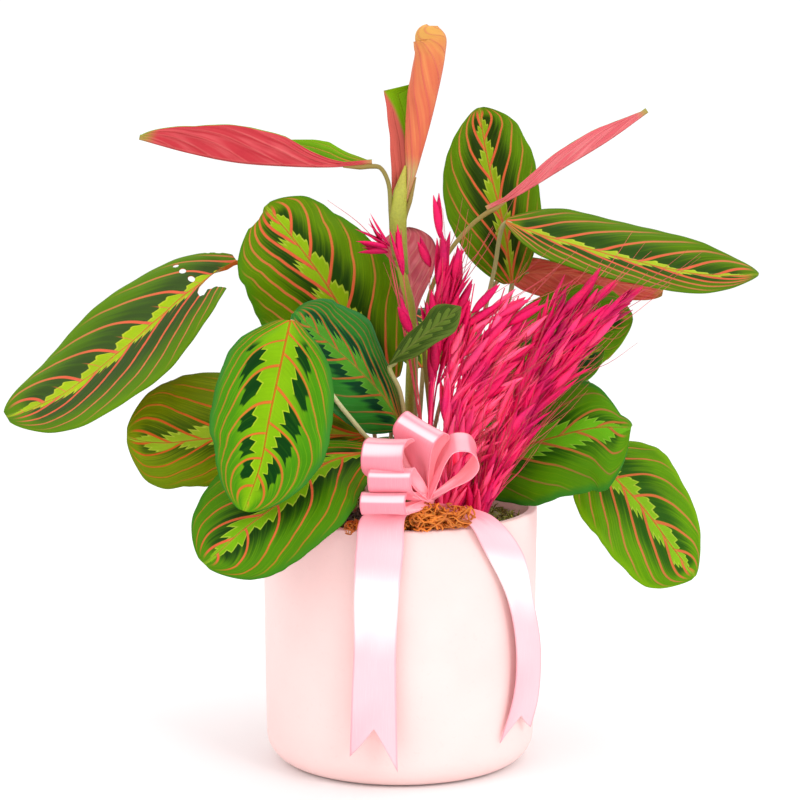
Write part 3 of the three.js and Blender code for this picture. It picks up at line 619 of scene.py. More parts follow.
def strand_tint():
    """Colour of a thin round strand: from root to tip, with a tone of its own and fine grain along it."""
    n = Group("strand tint", STRAND)
    look = n.look
    length, tone, _ = n.map("strand")
    fibre = n.noise(n.place(), 900.0, 2.0)
    blotch = n.noise(n.place(), 60.0, 3.0)
    colour = n.mix(length, look.root, look.tip)
    colour = n.mix(n.step(tone, 0.45, 0.9) * look.other_share, colour, look.other)
    colour = n.mix(n.step(blotch, 0.4, 0.75) * look.grain, colour, look.dark)
    light = 1.0 + (tone - 0.5) * look.tones + (fibre - 0.5) * look.grain
    n.give(colour=n.tinted(colour, light), height=fibre + blotch, roughness=0.45 + fibre * 0.2)
    return n


def satin_lustre():
    """Satin: fine floats along its length, a painted highlight where it faces a fixed direction to the front
    and above or bends up, a painted highlight band at a place along it, and painted shade at its start. Map
    "cloth" holds the place along it and across it, in metres."""
    n = Group("satin lustre", SATIN, ["Coat"])
    look = n.look
    length, across, _ = n.map("cloth")
    floats = n.noise(n.vector(length * 90.0, across * 4200.0), 1.0, 2.0)
    weft = n.math("SINE", length * (2 * math.pi / 0.0006))
    broad = n.noise(n.vector(length * 24.0, across * 30.0), 1.0, 1.0)
    selvedge = n.step(abs(across), RIBBON_WIDTH * MM * 0.455, RIBBON_WIDTH * MM * 0.47)
    # Painted highlight: the colour goes to the bright colour where the normal faces a fixed direction to the
    # front and above (facing) or points up (upward).
    x, y, z = n.parts(n.value(n.node("NewGeometry"), "Normal"))
    facing = x * -0.27 + y * -0.79 + z * 0.55
    upward = x * 0.1 + y * -0.25 + z * 0.96
    crest = n.most(n.step(facing, 0.93, 1.0), n.step(upward, 0.88, 1.0) * 0.55) * look.crest
    # Painted highlight band (sheen) at a set place along the ribbon, and painted shade in the deep colour
    # over its start, where it comes out from under the bow.
    away = abs(length + (broad - 0.5) * 0.02 - look.sheen_place)
    sheen = n.step(away, look.sheen_width, 0.0) * look.sheen
    painted_shade = n.step(length + (broad - 0.5) * 0.01, look.shaded_length, look.shaded_length * 0.3)
    painted_shade = painted_shade * (look.shaded_length > 0.0001)
    colour = n.mix(n.step(broad, 0.35, 0.8) * 0.35, look.face, look.deep)
    colour = n.mix(n.most(crest, sheen), colour, look.bright)
    colour = n.mix(painted_shade, colour, look.deep)
    colour = n.mix(n.step(floats, 0.5, 0.85) * 0.22, colour, look.bright)
    colour = n.mix(selvedge * 0.35, colour, look.deep)
    n.give(colour=colour, height=floats * 0.6 + weft * 0.1 + selvedge * 1.2,
           roughness=0.26 + floats * 0.12 + selvedge * 0.2, coat=(1.0 - selvedge) * 0.1)
    return n


LEAF_PATTERN = maranta_pattern()
LEAF_UNDERSIDE = maranta_underside()
STRAND_TINT = strand_tint()
SATIN_LUSTRE = satin_lustre()


def ceramic():
    """Matte glazed ceramic, pale pink, with a faint mottle and a soft sheen."""
    n = Finish("pale pink ceramic", Coat_Weight=0.12, Coat_Roughness=0.35)
    cloud = n.noise(n.place(), 14.0, 4.0)
    speck = n.noise(n.place(), 420.0, 2.0)
    colour = n.mix(n.step(cloud, 0.3, 0.7), (251, 211, 207), (254, 219, 215))
    colour = n.mix(n.step(speck, 0.62, 0.72) * 0.1, colour, (232, 186, 180))
    n.give(colour, 0.42 + cloud * 0.16)
    n.bump(cloud * 0.8 + speck * 0.25, 0.0003)
    return n.material


def soil_crumb():
    """Dark damp potting soil with paler grains."""
    n = Finish("potting soil")
    lump = n.noise(n.place(), 180.0, 5.0, 0.7)
    grain = n.noise(n.place(), 900.0, 3.0, 0.7)
    colour = n.mix(n.step(lump, 0.35, 0.7), (38, 24, 16), (96, 66, 44))
    colour = n.mix(n.step(grain, 0.6, 0.75) * 0.5, colour, (140, 104, 74))
    n.give(colour, 0.82 + grain * 0.15)
    n.bump(lump + grain * 0.5, 0.0016)
    return n.material


def pale_floor():
    n = Finish("pale floor")
    n.give(n.mix(n.noise(n.place(), 2.0), (245, 245, 245), (248, 248, 248)), 0.8)
    return n.material


def satin(name, glow=0.0, **look):
    """glow is an emission of the satin's own colour: painted light that stands for light coming through the
    thin satin into its shaded faces.
    """
    n = Finish(name, Specular_IOR_Level=0.35, Coat_Roughness=0.22, Emission_Strength=glow)
    lustre = n.use(SATIN_LUSTRE, look, 0.00006)
    n.put(n.sockets["Coat Weight"], n.value(lustre, "Coat"))
    n.put(n.sockets["Emission Color"], n.value(lustre, "Colour"))
    return n.material


def strand(name, specular=0.5, **look):
    n = Finish(name, Specular_IOR_Level=specular)
    n.use(STRAND_TINT, look, 0.0003)
    return n.material


def leaf_upper(leaf):
    """The finish of a leaf's upper side. A young leaf's inner side may stay rosy below a slanting line and be
    golden at the tip: blush is that line's place and slant, and the two colours."""
    n = Finish(f"{leaf.name} upper side", Specular_IOR_Level=0.07)
    pattern = n.use(LEAF_PATTERN, leaf.look, 0.0004)
    if leaf.blush:
        place, slant, rosy, golden = leaf.blush
        u, v, _ = n.map("blade")
        below = n.step(u + v * slant, place + 0.02, place - 0.02)
        colour = n.mix(below, n.value(pattern, "Colour"), rosy)
        n.put(n.sockets["Base Color"], n.mix(n.step(u, 0.88, 0.93), colour, golden))
    return n.material


def leaf_under(name, look):
    n = Finish(f"{name} leaf underside", Specular_IOR_Level=0.25)
    n.use(LEAF_UNDERSIDE, look, 0.0003)
    return n.material


UNDERSIDES = {name: leaf_under(name, look) for name, look in {
    "plain": dict(ground=(170, 54, 74), pale=(200, 100, 108), deep=(124, 34, 58)),
    "rosy": dict(ground=(206, 50, 62), pale=(230, 100, 104), deep=(190, 36, 56), edge=(140, 170, 40),
                 edge_start=0.985, vein_colour=(232, 110, 106), vein_strength=0.35, scallops=0.35),
    "warm": dict(ground=(216, 80, 62), pale=(236, 118, 92), deep=(190, 50, 62), edge=(150, 150, 50),
                 edge_start=0.96, vein_colour=(236, 130, 90), vein_strength=0.4, scallops=0.4),
    "pink": dict(ground=(228, 96, 106), pale=(240, 146, 148), deep=(200, 56, 74), edge=(150, 170, 60),
                 edge_start=0.98, vein_colour=(236, 130, 124), vein_strength=0.25, scallops=0.3),
    "dull": dict(ground=(202, 84, 96), pale=(222, 130, 134), deep=(160, 52, 74), edge=(130, 60, 60),
                 edge_start=0.93, vein_strength=0.3, scallops=0.3),
    "coral": dict(ground=(240, 116, 80), pale=(250, 164, 94), deep=(226, 72, 84), depth=0.85,
                  edge=(240, 176, 84), edge_start=0.97, tip_start=0.42, base=(216, 186, 120),
                  base_stop=0.22, vein_colour=(234, 84, 96), vein_strength=0.35, scallops=0.1),
}.items()}
STALKS = {
    "green": strand("leaf stalk", root=(150, 70, 74), tip=(170, 190, 110), dark=(120, 130, 60)),
    "pale": strand("pale leaf stalk", root=(206, 206, 160), tip=(196, 206, 140), dark=(160, 166, 96)),
    "brown": strand("brownish leaf stalk", root=(130, 130, 50), tip=(150, 120, 56), dark=(120, 90, 40)),
}
STEM_SKIN = strand("stem skin", root=(112, 136, 30), tip=(184, 180, 64), dark=(164, 132, 50), grain=0.5)
MOSS_GREEN = strand("moss", root=(96, 74, 22), tip=(146, 158, 40), dark=(70, 50, 22), grain=0.4, tones=0.9)
COIR_BROWN = strand("coir", root=(186, 90, 12), tip=(222, 138, 40), dark=(128, 54, 4), grain=0.35,
                    other=(216, 118, 28), other_share=0.8, tones=0.7)
OAT_PINK = strand("dyed oats", 0.25, root=(242, 10, 94), tip=(238, 4, 90), dark=(196, 0, 108), grain=0.45,
                  other=(255, 96, 136), other_share=0.85, tones=0.75)
AWN_RED = strand("oat awns", root=(206, 30, 76), tip=(196, 80, 70), dark=(150, 20, 50), tones=0.6)
# Painted light on the ribbon: crest values set the painted highlight on each face; the insides of the loops
# are lighter and glow, painted light in their shade; the tails carry a painted highlight band part-way down
# and painted shade where they start under the bow.
LOOP_SATIN = satin("pink satin ribbon", face=(246, 148, 163), deep=(240, 120, 140), bright=(255, 236, 240),
                   crest=0.7)
INNER_SATIN = satin("pink satin inside the loops", 0.2, face=(255, 172, 182), deep=(252, 136, 152),
                    bright=(255, 244, 246), crest=0.8)
TAIL_SATIN = satin("pink satin of the tails", face=(250, 198, 207), deep=(247, 142, 158),
                   bright=(255, 253, 253), crest=0.25, shaded_length=0.036, sheen_place=0.066,
                   sheen_width=0.025, sheen=1.0)


# ------------------------------------------------------------------------------------------------------
# Leaves. Each blade follows its midrib, given from the leaf base to the tip, and turns its upper side
# towards face, as in the part's solids. margins narrow or widen each half along the blade. A stalk whose
# first point has no height stands in the soil there. look changes the leaf pattern's values.

def new_leaf(**values):
    """A leaf with the values that most leaves share where it has none of its own."""
    shared = dict(margins=((1, 1), (1, 1)), widest=0.5, least_width=0, tip_fullness=OUTLINE_FULLNESS,
                  tip_lift=0, wave=MARGIN_WAVE, pleat=PLEAT_HEIGHT, midrib_shift=0,
                  vein_sweep=((0.3, 0.2, 3), (0.3, 0.2, 3)), under="plain", stalk_colour="green",
                  torn=(), holes=(), blush=None)
    return SimpleNamespace(**{**shared, **values})


LEAVES = [
    new_leaf(name="leaf_far_left", half_width=34, fold=(10, 10), curl=(-14, -14), midrib_shift=-0.2,
             rib=[(-84, 28, 254), (-107, 18, 243), (-138, 5, 219), (-168, -8, 196), (-198, -16, 180)],
             face=[(-0.25, -0.62, 0.74), (-0.5, -0.6, 0.62)],
             margins=((0.8, 1, 1.2, 1.4, 1.6), (0.8, 0.85, 0.85, 0.85, 0.9)),
             stalk=[(-18, 20), (-34, 32, 190), (-62, 35, 246)],
             torn=[(-0.04, -0.04), (0.106, -0.04), (0.184, -0.2), (0.234, -0.27), (0.26, -0.38),
                   (0.265, -0.5), (0.252, -0.57), (0.22, -0.53), (0.176, -0.68), (0.15, -0.9), (0.12, -1.3),
                   (-0.04, -1.3)],
             holes=[(0.24, 0.716, 0.012, 0.075), (0.236, 0.456, 0.014, 0.09), (0.232, 0.104, 0.014, 0.1),
                    (0.05, 1.08, 0.018, 0.14), (0.09, 1.06, 0.012, 0.1)],
             vein_sweep=((0.5, 0.12, 2.5), (0.07, 0.27, 2.5)),
             look=dict(seed=1.0, band=0.22, left_band=0.5, lobes=0.7, taper=0.1, tooth_size=0.05, teeth=3.0,
                       dark_end=0.62, dark_softness=0.26, vein_width=1.5, hair=0.7, streak_amount=0.3,
                       veins=7.0, ground=(92, 134, 12), margin=(100, 142, 8), dark=(60, 84, 34),
                       streak=(84, 122, 30), lime=(168, 198, 16), rim=(210, 212, 60),
                       vein_colour=(236, 104, 72), vein_outer=(230, 134, 84))),
    new_leaf(name="leaf_upper_left", half_width=35, fold=(6, 8), curl=(-16, -22),
             rib=[(-4, 17, 193), (-25, 14, 223), (-40, 9, 248), (-55, 5, 269), (-68, 8, 284)],
             face=[(-0.2, -0.85, 0.45), (-0.25, -0.8, 0.5)],
             margins=((1.2, 1.2, 1.1, 1.1, 1.4), (1, 1.1, 0.9, 0.8, 1)),
             stalk=[(-6, 14), (-5, 17, 158)],
             holes=[(1.0, -0.75, 0.045, 0.5)],
             vein_sweep=((0.9, 0.02, 3), (0.27, 0.15, 2.5)),
             look=dict(seed=2.0, band=0.21, lobes=0.6, tooth_size=0.05, teeth=2.6, dark_end=0.42,
                       dark_softness=0.2, vein_width=1.5, streak_amount=0.7, veins=6.5, vein_shift=0.1,
                       ground=(98, 140, 0), margin=(84, 140, 6), dark=(34, 68, 4), streak=(124, 156, 2),
                       lime=(150, 190, 18))),
    new_leaf(name="leaf_front", half_width=31, fold=(6, 6), curl=(-20, -20), stalk_colour="pale",
             rib=[(-53.5, -48, 233), (-57, -62, 217), (-63, -76, 189), (-67, -82, 168), (-75, -84, 145)],
             face=[(-0.25, -0.6, 0.75), (-0.2, -0.97, 0.1), (-0.2, -1, -0.1)],
             margins=((0.7, 0.95, 1, 1.05, 1), (1.5, 1.1, 0.95, 0.95, 1.1)),
             stalk=[(-9, -20), (-9.5, -24, 161), (-20, -37, 177), (-36, -46, 200), (-46, -48, 224)],
             vein_sweep=((0.18, 0.33, 3.5), (0.04, 0.58, 3)),
             look=dict(seed=3.0, band=0.4, lobes=0.0, taper=0.8, band_fade=0.42, tooth_size=0.1, teeth=1.8,
                       dark_end=0.72, dark_softness=0.02, dark_reach=0.8, dark_start=0.14, dark_stop=0.9,
                       vein_width=1.15, streak_amount=0.5, veins=6.9, ground=(74, 146, 6),
                       margin=(62, 136, 40), dark=(4, 62, 6), lime=(140, 192, 4), rim=(198, 214, 50),
                       vein_colour=(222, 116, 44), vein_outer=(206, 134, 50), midrib=(212, 104, 24),
                       streak=(140, 190, 16))),
    new_leaf(name="leaf_dark_middle", half_width=27, fold=(4, 4), curl=(-20, -20),
             rib=[(1, -14, 175), (-10, -22, 193), (-25, -30, 210), (-41, -36, 225), (-52, -38, 236)],
             face=[(0.1, -0.8, 0.6), (-0.1, -0.6, 0.8)],
             margins=((1.2, 1.05, 1, 0.9, 0.8), (0.5, 0.75, 1.05, 1.1, 1.3)),
             stalk=[(2, -8), (3, -12, 152)],
             vein_sweep=((0.25, 0.12, 2.5), (0.5, 0.4, 2.5)),
             look=dict(seed=4.0, band=0.24, lobes=0.35, tooth_size=0.1, teeth=2.4, dark_end=0.48,
                       dark_softness=0.08, dark_reach=0.85, vein_width=1.0, veins=6.8, ground=(46, 130, 38),
                       margin=(58, 136, 66), dark=(10, 64, 34), lime=(82, 158, 40), rim=(118, 180, 70),
                       streak=(70, 144, 64), vein_colour=(190, 110, 50), vein_outer=(150, 118, 60),
                       midrib=(160, 150, 50))),
    new_leaf(name="leaf_low_left", half_width=31, fold=(4, 4), curl=(-20, -20), midrib_shift=-0.14,
             rib=[(-18, -6, 169), (-50, -14, 173), (-95, -20, 173), (-115, -22, 171), (-137, -22, 171)],
             face=[(-0.1, -0.8, 0.6), (-0.1, -0.85, 0.5)],
             margins=((0.8, 0.85, 0.9, 1, 1.4), (1.2, 1.1, 1.1, 1.2, 1.6)),
             stalk=[(-12, 0), (-14, -3, 145)],
             vein_sweep=((0.6, 0.2, 4), (0.72, 0.12, 4)),
             look=dict(seed=5.0, band=0.2, lobes=0.5, tooth_size=0.06, teeth=3.0, dark_end=0.36,
                       dark_softness=0.25, vein_width=1.15, streak_amount=0.75, veins=5.0, vein_shift=0.25,
                       ground=(116, 142, 0), margin=(112, 138, 2), dark=(58, 86, 0), streak=(156, 172, 10),
                       vein_colour=(222, 100, 34), vein_outer=(216, 116, 40), lime=(156, 190, 34))),
    new_leaf(name="leaf_bottom_left", half_width=32, fold=(6, 6), curl=(-20, -22), midrib_shift=-0.06,
             rib=[(-13, -34, 166), (-38, -54, 163), (-58, -66, 148), (-78, -74, 134), (-95, -80, 118)],
             face=[(-0.1, -0.65, 0.75), (-0.3, -0.8, 0.5)],
             margins=((1.05, 1.1, 1, 1.15, 1.5), (0.7, 0.7, 1, 1.2, 1.35)),
             stalk=[(-4, -33), (-8, -34, 145)],
             vein_sweep=((0.11, 0.5, 2.5), (0.52, 0.23, 2.5)),
             look=dict(seed=6.0, band=0.18, lobes=0.5, tooth_size=0.1, teeth=2.2, dark_end=0.42,
                       dark_softness=0.22, streak_amount=0.55, veins=5.3, vein_shift=-0.27,
                       ground=(80, 140, 2), margin=(66, 134, 20), dark=(26, 62, 8), streak=(120, 156, 10),
                       lime=(124, 182, 10), vein_outer=(212, 122, 44))),
    new_leaf(name="leaf_upper_right", half_width=26, fold=(8, 8), curl=(-10, -14),
             rib=[(58, 38, 241), (54, 40, 269), (47, 44, 297), (43, 48, 317), (41, 50, 331)],
             face=[(-0.1, -0.95, 0.2), (-0.1, -0.95, 0.3)],
             margins=((1.3, 1.15, 1, 0.8, 0.65), (0.9, 0.9, 0.9, 0.9, 1.05)),
             stalk=[(16, 28), (26, 42, 165), (50, 50, 212)],
             vein_sweep=((0.5, 0.15, 3), (0.42, 0.15, 3)),
             look=dict(seed=7.0, band=0.19, lobes=0.65, tooth_size=0.06, teeth=2.0, dark_end=0.52,
                       dark_softness=0.2, veins=5.6, ground=(94, 136, 0), margin=(98, 144, 4),
                       dark=(38, 62, 0), lime=(146, 178, 20))),
    new_leaf(name="leaf_folded_right", half_width=11.5, least_width=2.2, widest=0.6, fold=(62, 62),
             curl=(24, 24), wave=0, under="pink", stalk_colour="brown",
             rib=[(44, 8, 282), (60, 6, 290), (81, 4, 303), (105, 2, 318), (124, 0, 332)],
             face=[(-0.5, 0.1, 0.85), (-0.5, 0.1, 0.85)],
             margins=((0.4, 0.6, 0.76, 0.8, 0.6), (0.4, 0.6, 0.76, 0.8, 0.6)),
             stalk=[(15, 10), (16, 11, 165), (12.5, 9, 226), (22, 6, 256), (36, 8, 274)],
             look=dict(seed=8.0)),
    new_leaf(name="leaf_long_right", half_width=25, fold=(8, 8), curl=(-10, -10), midrib_shift=0.16,
             rib=[(54, 20, 275), (81, 17, 267), (117, 12, 258), (151, 6, 251), (181, 0, 250)],
             face=[(0.1, -0.6, 0.8), (0.1, -0.75, 0.65)],
             margins=((1, 0.9, 0.85, 0.85, 0.8), (1, 0.8, 0.8, 0.7, 0.75)),
             stalk=[(22, 18), (34, 23, 185), (48, 24, 248)],
             vein_sweep=((0.22, 0.19, 3.5), (0.5, 0.1, 3)),
             look=dict(seed=9.0, band=0.2, lobes=0.85, taper=0.4, tooth_size=0.05, teeth=2.0, dark_end=0.56,
                       dark_softness=0.25, vein_width=1.35, veins=6.8, ground=(88, 126, 8),
                       margin=(92, 134, 8), dark=(46, 80, 18), lime=(172, 196, 36),
                       vein_colour=(230, 104, 70), vein_outer=(226, 128, 86))),
    new_leaf(name="leaf_red_right", half_width=18, fold=(8, 8), curl=(-10, -10), under="warm",
             rib=[(56, 54, 245), (83, 53, 245), (109, 50, 241), (137, 48, 235)],
             face=[(0, 0.8, 0.6), (0, 0.8, 0.6)],
             margins=((1.5, 1.4, 1.15, 1, 0.9), (1, 0.5, 0.35, 0.3, 0.35)),
             stalk=[(12, 36), (24, 50, 186), (44, 56, 231)],
             look=dict(seed=10.0)),
    new_leaf(name="leaf_behind_oats", half_width=26, fold=(4, 4), curl=(-12, -16),
             rib=[(40, 26, 184), (66, 30, 206), (97, 32, 221), (120, 30, 225)],
             face=[(-0.2, -0.8, 0.6), (-0.2, -0.8, 0.6)],
             margins=((0.7, 0.9, 1.05, 1, 1.1), (1, 1.05, 1.05, 1.05, 1.2)),
             stalk=[(28, 14), (33, 21, 150)],
             look=dict(seed=11.0, streak_amount=0.5, band=0.16, dark_end=0.36, vein_width=0.8,
                       ground=(88, 142, 4), margin=(110, 160, 4), dark=(20, 66, 12), streak=(130, 164, 20),
                       vein_colour=(200, 120, 60), vein_outer=(176, 140, 60))),
    new_leaf(name="leaf_under_oats", half_width=17, fold=(4, 4), curl=(-12, -16),
             rib=[(46, 10, 172), (66, 13, 188), (88, 14, 202), (104, 14, 211)],
             face=[(-0.2, -0.75, 0.65), (-0.2, -0.75, 0.65)],
             margins=((0.6, 0.75, 0.9, 0.9, 1), (0.9, 0.8, 0.8, 0.8, 1)),
             stalk=[(32, 2), (40, 6, 152)],
             look=dict(seed=12.0, band=0.12, vein_width=0.7, ground=(56, 120, 24), dark=(20, 68, 20),
                       vein_colour=(170, 120, 60), vein_outer=(140, 130, 60))),
    new_leaf(name="leaf_right_front", half_width=29, fold=(4, 4), curl=(-20, -24), tip_fullness=0.38,
             rib=[(31, 2, 147), (54, -12, 161), (77, -26, 171), (98, -38, 178), (114, -45, 179)],
             face=[(-0.1, -0.8, 0.6), (0.1, -0.85, 0.5)],
             margins=((0.9, 1.15, 1.27, 0.95, 0.42), (1.2, 1.2, 1.1, 1.18, 1.65)),
             stalk=[(24, -8), (26, -3, 138)],
             vein_sweep=((0.45, 0.08, 4), (0.62, 0, 4)),
             look=dict(seed=13.0, band=0.25, lobes=0.4, tooth_size=0.09, teeth=2.8, dark_end=0.38,
                       dark_softness=0.22, vein_width=1.2, veins=4.8, ground=(84, 142, 4),
                       margin=(58, 130, 32), dark=(32, 80, 4), vein_colour=(190, 112, 52),
                       vein_outer=(160, 122, 60), lime=(104, 178, 20), rim=(150, 196, 60),
                       midrib=(190, 110, 36))),
    new_leaf(name="leaf_far_right_low", half_width=30, fold=(8, 8), curl=(-18, -18),
             rib=[(94, 0, 162), (108, -8, 148), (122, -14, 134), (138, -20, 113), (149, -22, 99)],
             face=[(0.3, -0.7, 0.6), (0.3, -0.85, 0.4)],
             margins=((1.3, 1.2, 1, 0.8, 0.75), (1.2, 1.1, 1.05, 1.1, 1.3)),
             stalk=[(34, 6), (52, 6, 150), (76, 4, 166)],
             vein_sweep=((0.2, 0.21, 2.5), (0.6, 0.05, 2.5)),
             look=dict(seed=14.0, band=0.21, lobes=0.6, tooth_size=0.07, teeth=2.6, dark_end=0.48,
                       dark_softness=0.22, streak_amount=0.6, vein_width=1.35, veins=6.0,
                       ground=(94, 150, 0), margin=(118, 170, 2), dark=(40, 90, 4), streak=(126, 174, 2),
                       lime=(136, 190, 24), vein_colour=(216, 112, 60), vein_outer=(212, 128, 70))),
    new_leaf(name="leaf_small_middle", half_width=11.5, widest=0.62, fold=(10, 10), curl=(-20, -20),
             pleat=1.1,
             rib=[(-6, -38, 209), (14.5, -43, 227), (30, -44, 239)],
             face=[(-0.4, -0.5, 0.6), (-0.4, -0.5, 0.6)],
             stalk=[(5, -27), (4, -33, 165), (0, -37, 196)],
             look=dict(seed=15.0, band=0.55, dark_end=0.8, vein_width=0.7, veins=7.0, ground=(92, 114, 40),
                       margin=(96, 118, 44), dark=(58, 84, 22), lime=(100, 124, 42), rim=(122, 142, 60),
                       streak=(112, 130, 54), vein_colour=(66, 90, 26), vein_outer=(70, 94, 30),
                       midrib=(126, 138, 60))),
    new_leaf(name="leaf_red_behind_stem", half_width=17, least_width=1.6, widest=0.76, fold=(20, 20),
             curl=(10, 10), under="dull",
             rib=[(8, 40, 216), (5, 44, 242), (2, 48, 269)],
             face=[(0, 0.9, 0.4), (0, 0.9, 0.4)],
             stalk=[(6, 25), (8, 37, 170)],
             look=dict(seed=16.0)),
    new_leaf(name="leaf_back_left", half_width=29, fold=(6, 6), curl=(-18, -18),
             rib=[(-18, 40, 186), (-34, 62, 196), (-52, 84, 196), (-68, 104, 184)],
             face=[(-0.2, 0.3, 0.9), (-0.4, 0.5, 0.7)],
             stalk=[(-10, 32), (-13, 36, 160)],
             look=dict(seed=17.0, dark_end=0.5, tooth_size=0.08)),
    new_leaf(name="leaf_back_middle", half_width=29, fold=(6, 6), curl=(-18, -18),
             rib=[(12, 58, 194), (16, 80, 212), (20, 106, 218), (22, 132, 208)],
             face=[(0, 0.1, 1), (0.1, 0.5, 0.8)],
             stalk=[(4, 34), (10, 51, 165)],
             look=dict(seed=18.0, lobes=0.4, tooth_size=0.09)),
    new_leaf(name="leaf_back_right", half_width=28, fold=(6, 6), curl=(-18, -18),
             rib=[(40, 48, 166), (60, 64, 182), (80, 82, 186), (98, 100, 176)],
             face=[(0.1, 0.3, 0.9), (0.4, 0.5, 0.7)],
             stalk=[(28, 24), (35, 38, 145)],
             look=dict(seed=19.0, dark_reach=0.8, dark_softness=0.06, band=0.3)),
    new_leaf(name="leaf_back_low_left", half_width=28, fold=(6, 6), curl=(-18, -18),
             rib=[(-34, 34, 150), (-56, 54, 156), (-78, 74, 148), (-94, 92, 130)],
             face=[(-0.2, 0.3, 0.9), (-0.4, 0.6, 0.6)],
             stalk=[(-24, 22), (-29, 28, 138)],
             look=dict(seed=20.0, streak_amount=0.65, ground=(88, 132, 4))),
    new_leaf(name="leaf_back_low", half_width=28, fold=(6, 6), curl=(-18, -18),
             rib=[(4, 58, 146), (6, 82, 152), (6, 106, 142), (4, 126, 120)],
             face=[(0, 0.3, 0.9), (0, 0.6, 0.6)],
             stalk=[(-4, 36), (1, 50, 138)],
             look=dict(seed=21.0, band=0.3, dark_end=0.55, ground=(60, 126, 14))),
]

# The one tall stem carries a folded leaf, held out to the left, and a young leaf that is still rolled up.
STEM_PATH = [(5, 6, 185), (6, 4, 216), (5, 2, 235), (2, 0, 247), (-1, -1, 266), (0, 0, 286)]
SHEATH_PATH = [(2.2, 0, 250), (0.5, -0.8, 258), (-0.8, -1, 268), (-1, -1, 280), (0.2, -0.8, 292),
               (2.8, -0.4, 305)]
SHEATH_RADII = [2.3, 3.5, 4.4, 4.5, 3.4, 0.5]
STEM_LEAVES = [
    new_leaf(name="folded_young_leaf", half_width=20, least_width=2.2, widest=0.62, fold=(64, 56),
             curl=(10, 10), wave=0, under="rosy", stalk_colour="brown",
             rib=[(-14, 0, 306), (-35, 0, 304.5), (-58, 0, 305), (-82, -2, 307), (-106, -4, 312),
                  (-130, -8, 319)],
             face=[(0, 0.1, 1), (0, -0.1, 1)],
             margins=((0.25, 0.45, 0.7, 0.95, 1, 1, 0.98, 0.9, 0.9),
                      (1.2, 1.4, 1.1, 0.85, 0.75, 0.75, 0.74, 0.66, 0.68)),
             stalk=[(-3, -2, 258), (-4.6, -2, 280), (-6, -2, 297), (-10, -1, 304)],
             look=dict(seed=22.0, dark_amount=0.5, vein_width=0.8, ground=(118, 172, 14), dark=(84, 142, 8),
                       margin=(126, 176, 14), lime=(150, 186, 30), vein_colour=(214, 140, 60),
                       vein_outer=(190, 160, 60))),
    new_leaf(name="rolled_young_leaf", half_width=24, least_width=4.4, fold=(46, 10), curl=(60, 165),
             tip_fullness=0.34, tip_lift=0.85, under="coral", stalk_colour="brown",
             rib=[(1, 0, 279), (10, 0, 308), (17.5, 0, 336), (22.3, 0, 360), (22.6, 0, 369.5),
                  (18.5, 0, 374.5)],
             face=[(-1, 0, 0.1), (-1, 0, 0.1)],
             margins=((0.9, 0.93, 0.97, 0.99, 1.06, 1.13, 1.22, 0.62, 0.56, 0.56, 0.56, 0.56, 0.56, 0.56,
                      0.56, 0.56, 0.56), (0.37, 0.545, 0.715, 0.89, 0.96, 0.98, 1.0, 0.97, 1.12)),
             stalk=[(0, 0, 262)],
             blush=(0.4, 0.66, (202, 92, 80), (238, 164, 88)),
             look=dict(seed=23.0, vein_width=0.6, ground=(132, 178, 0), dark=(116, 166, 0),
                       margin=(136, 180, 0), lime=(146, 188, 4), rim=(146, 188, 4),
                       vein_colour=(146, 176, 20), vein_outer=(146, 176, 20))),
]


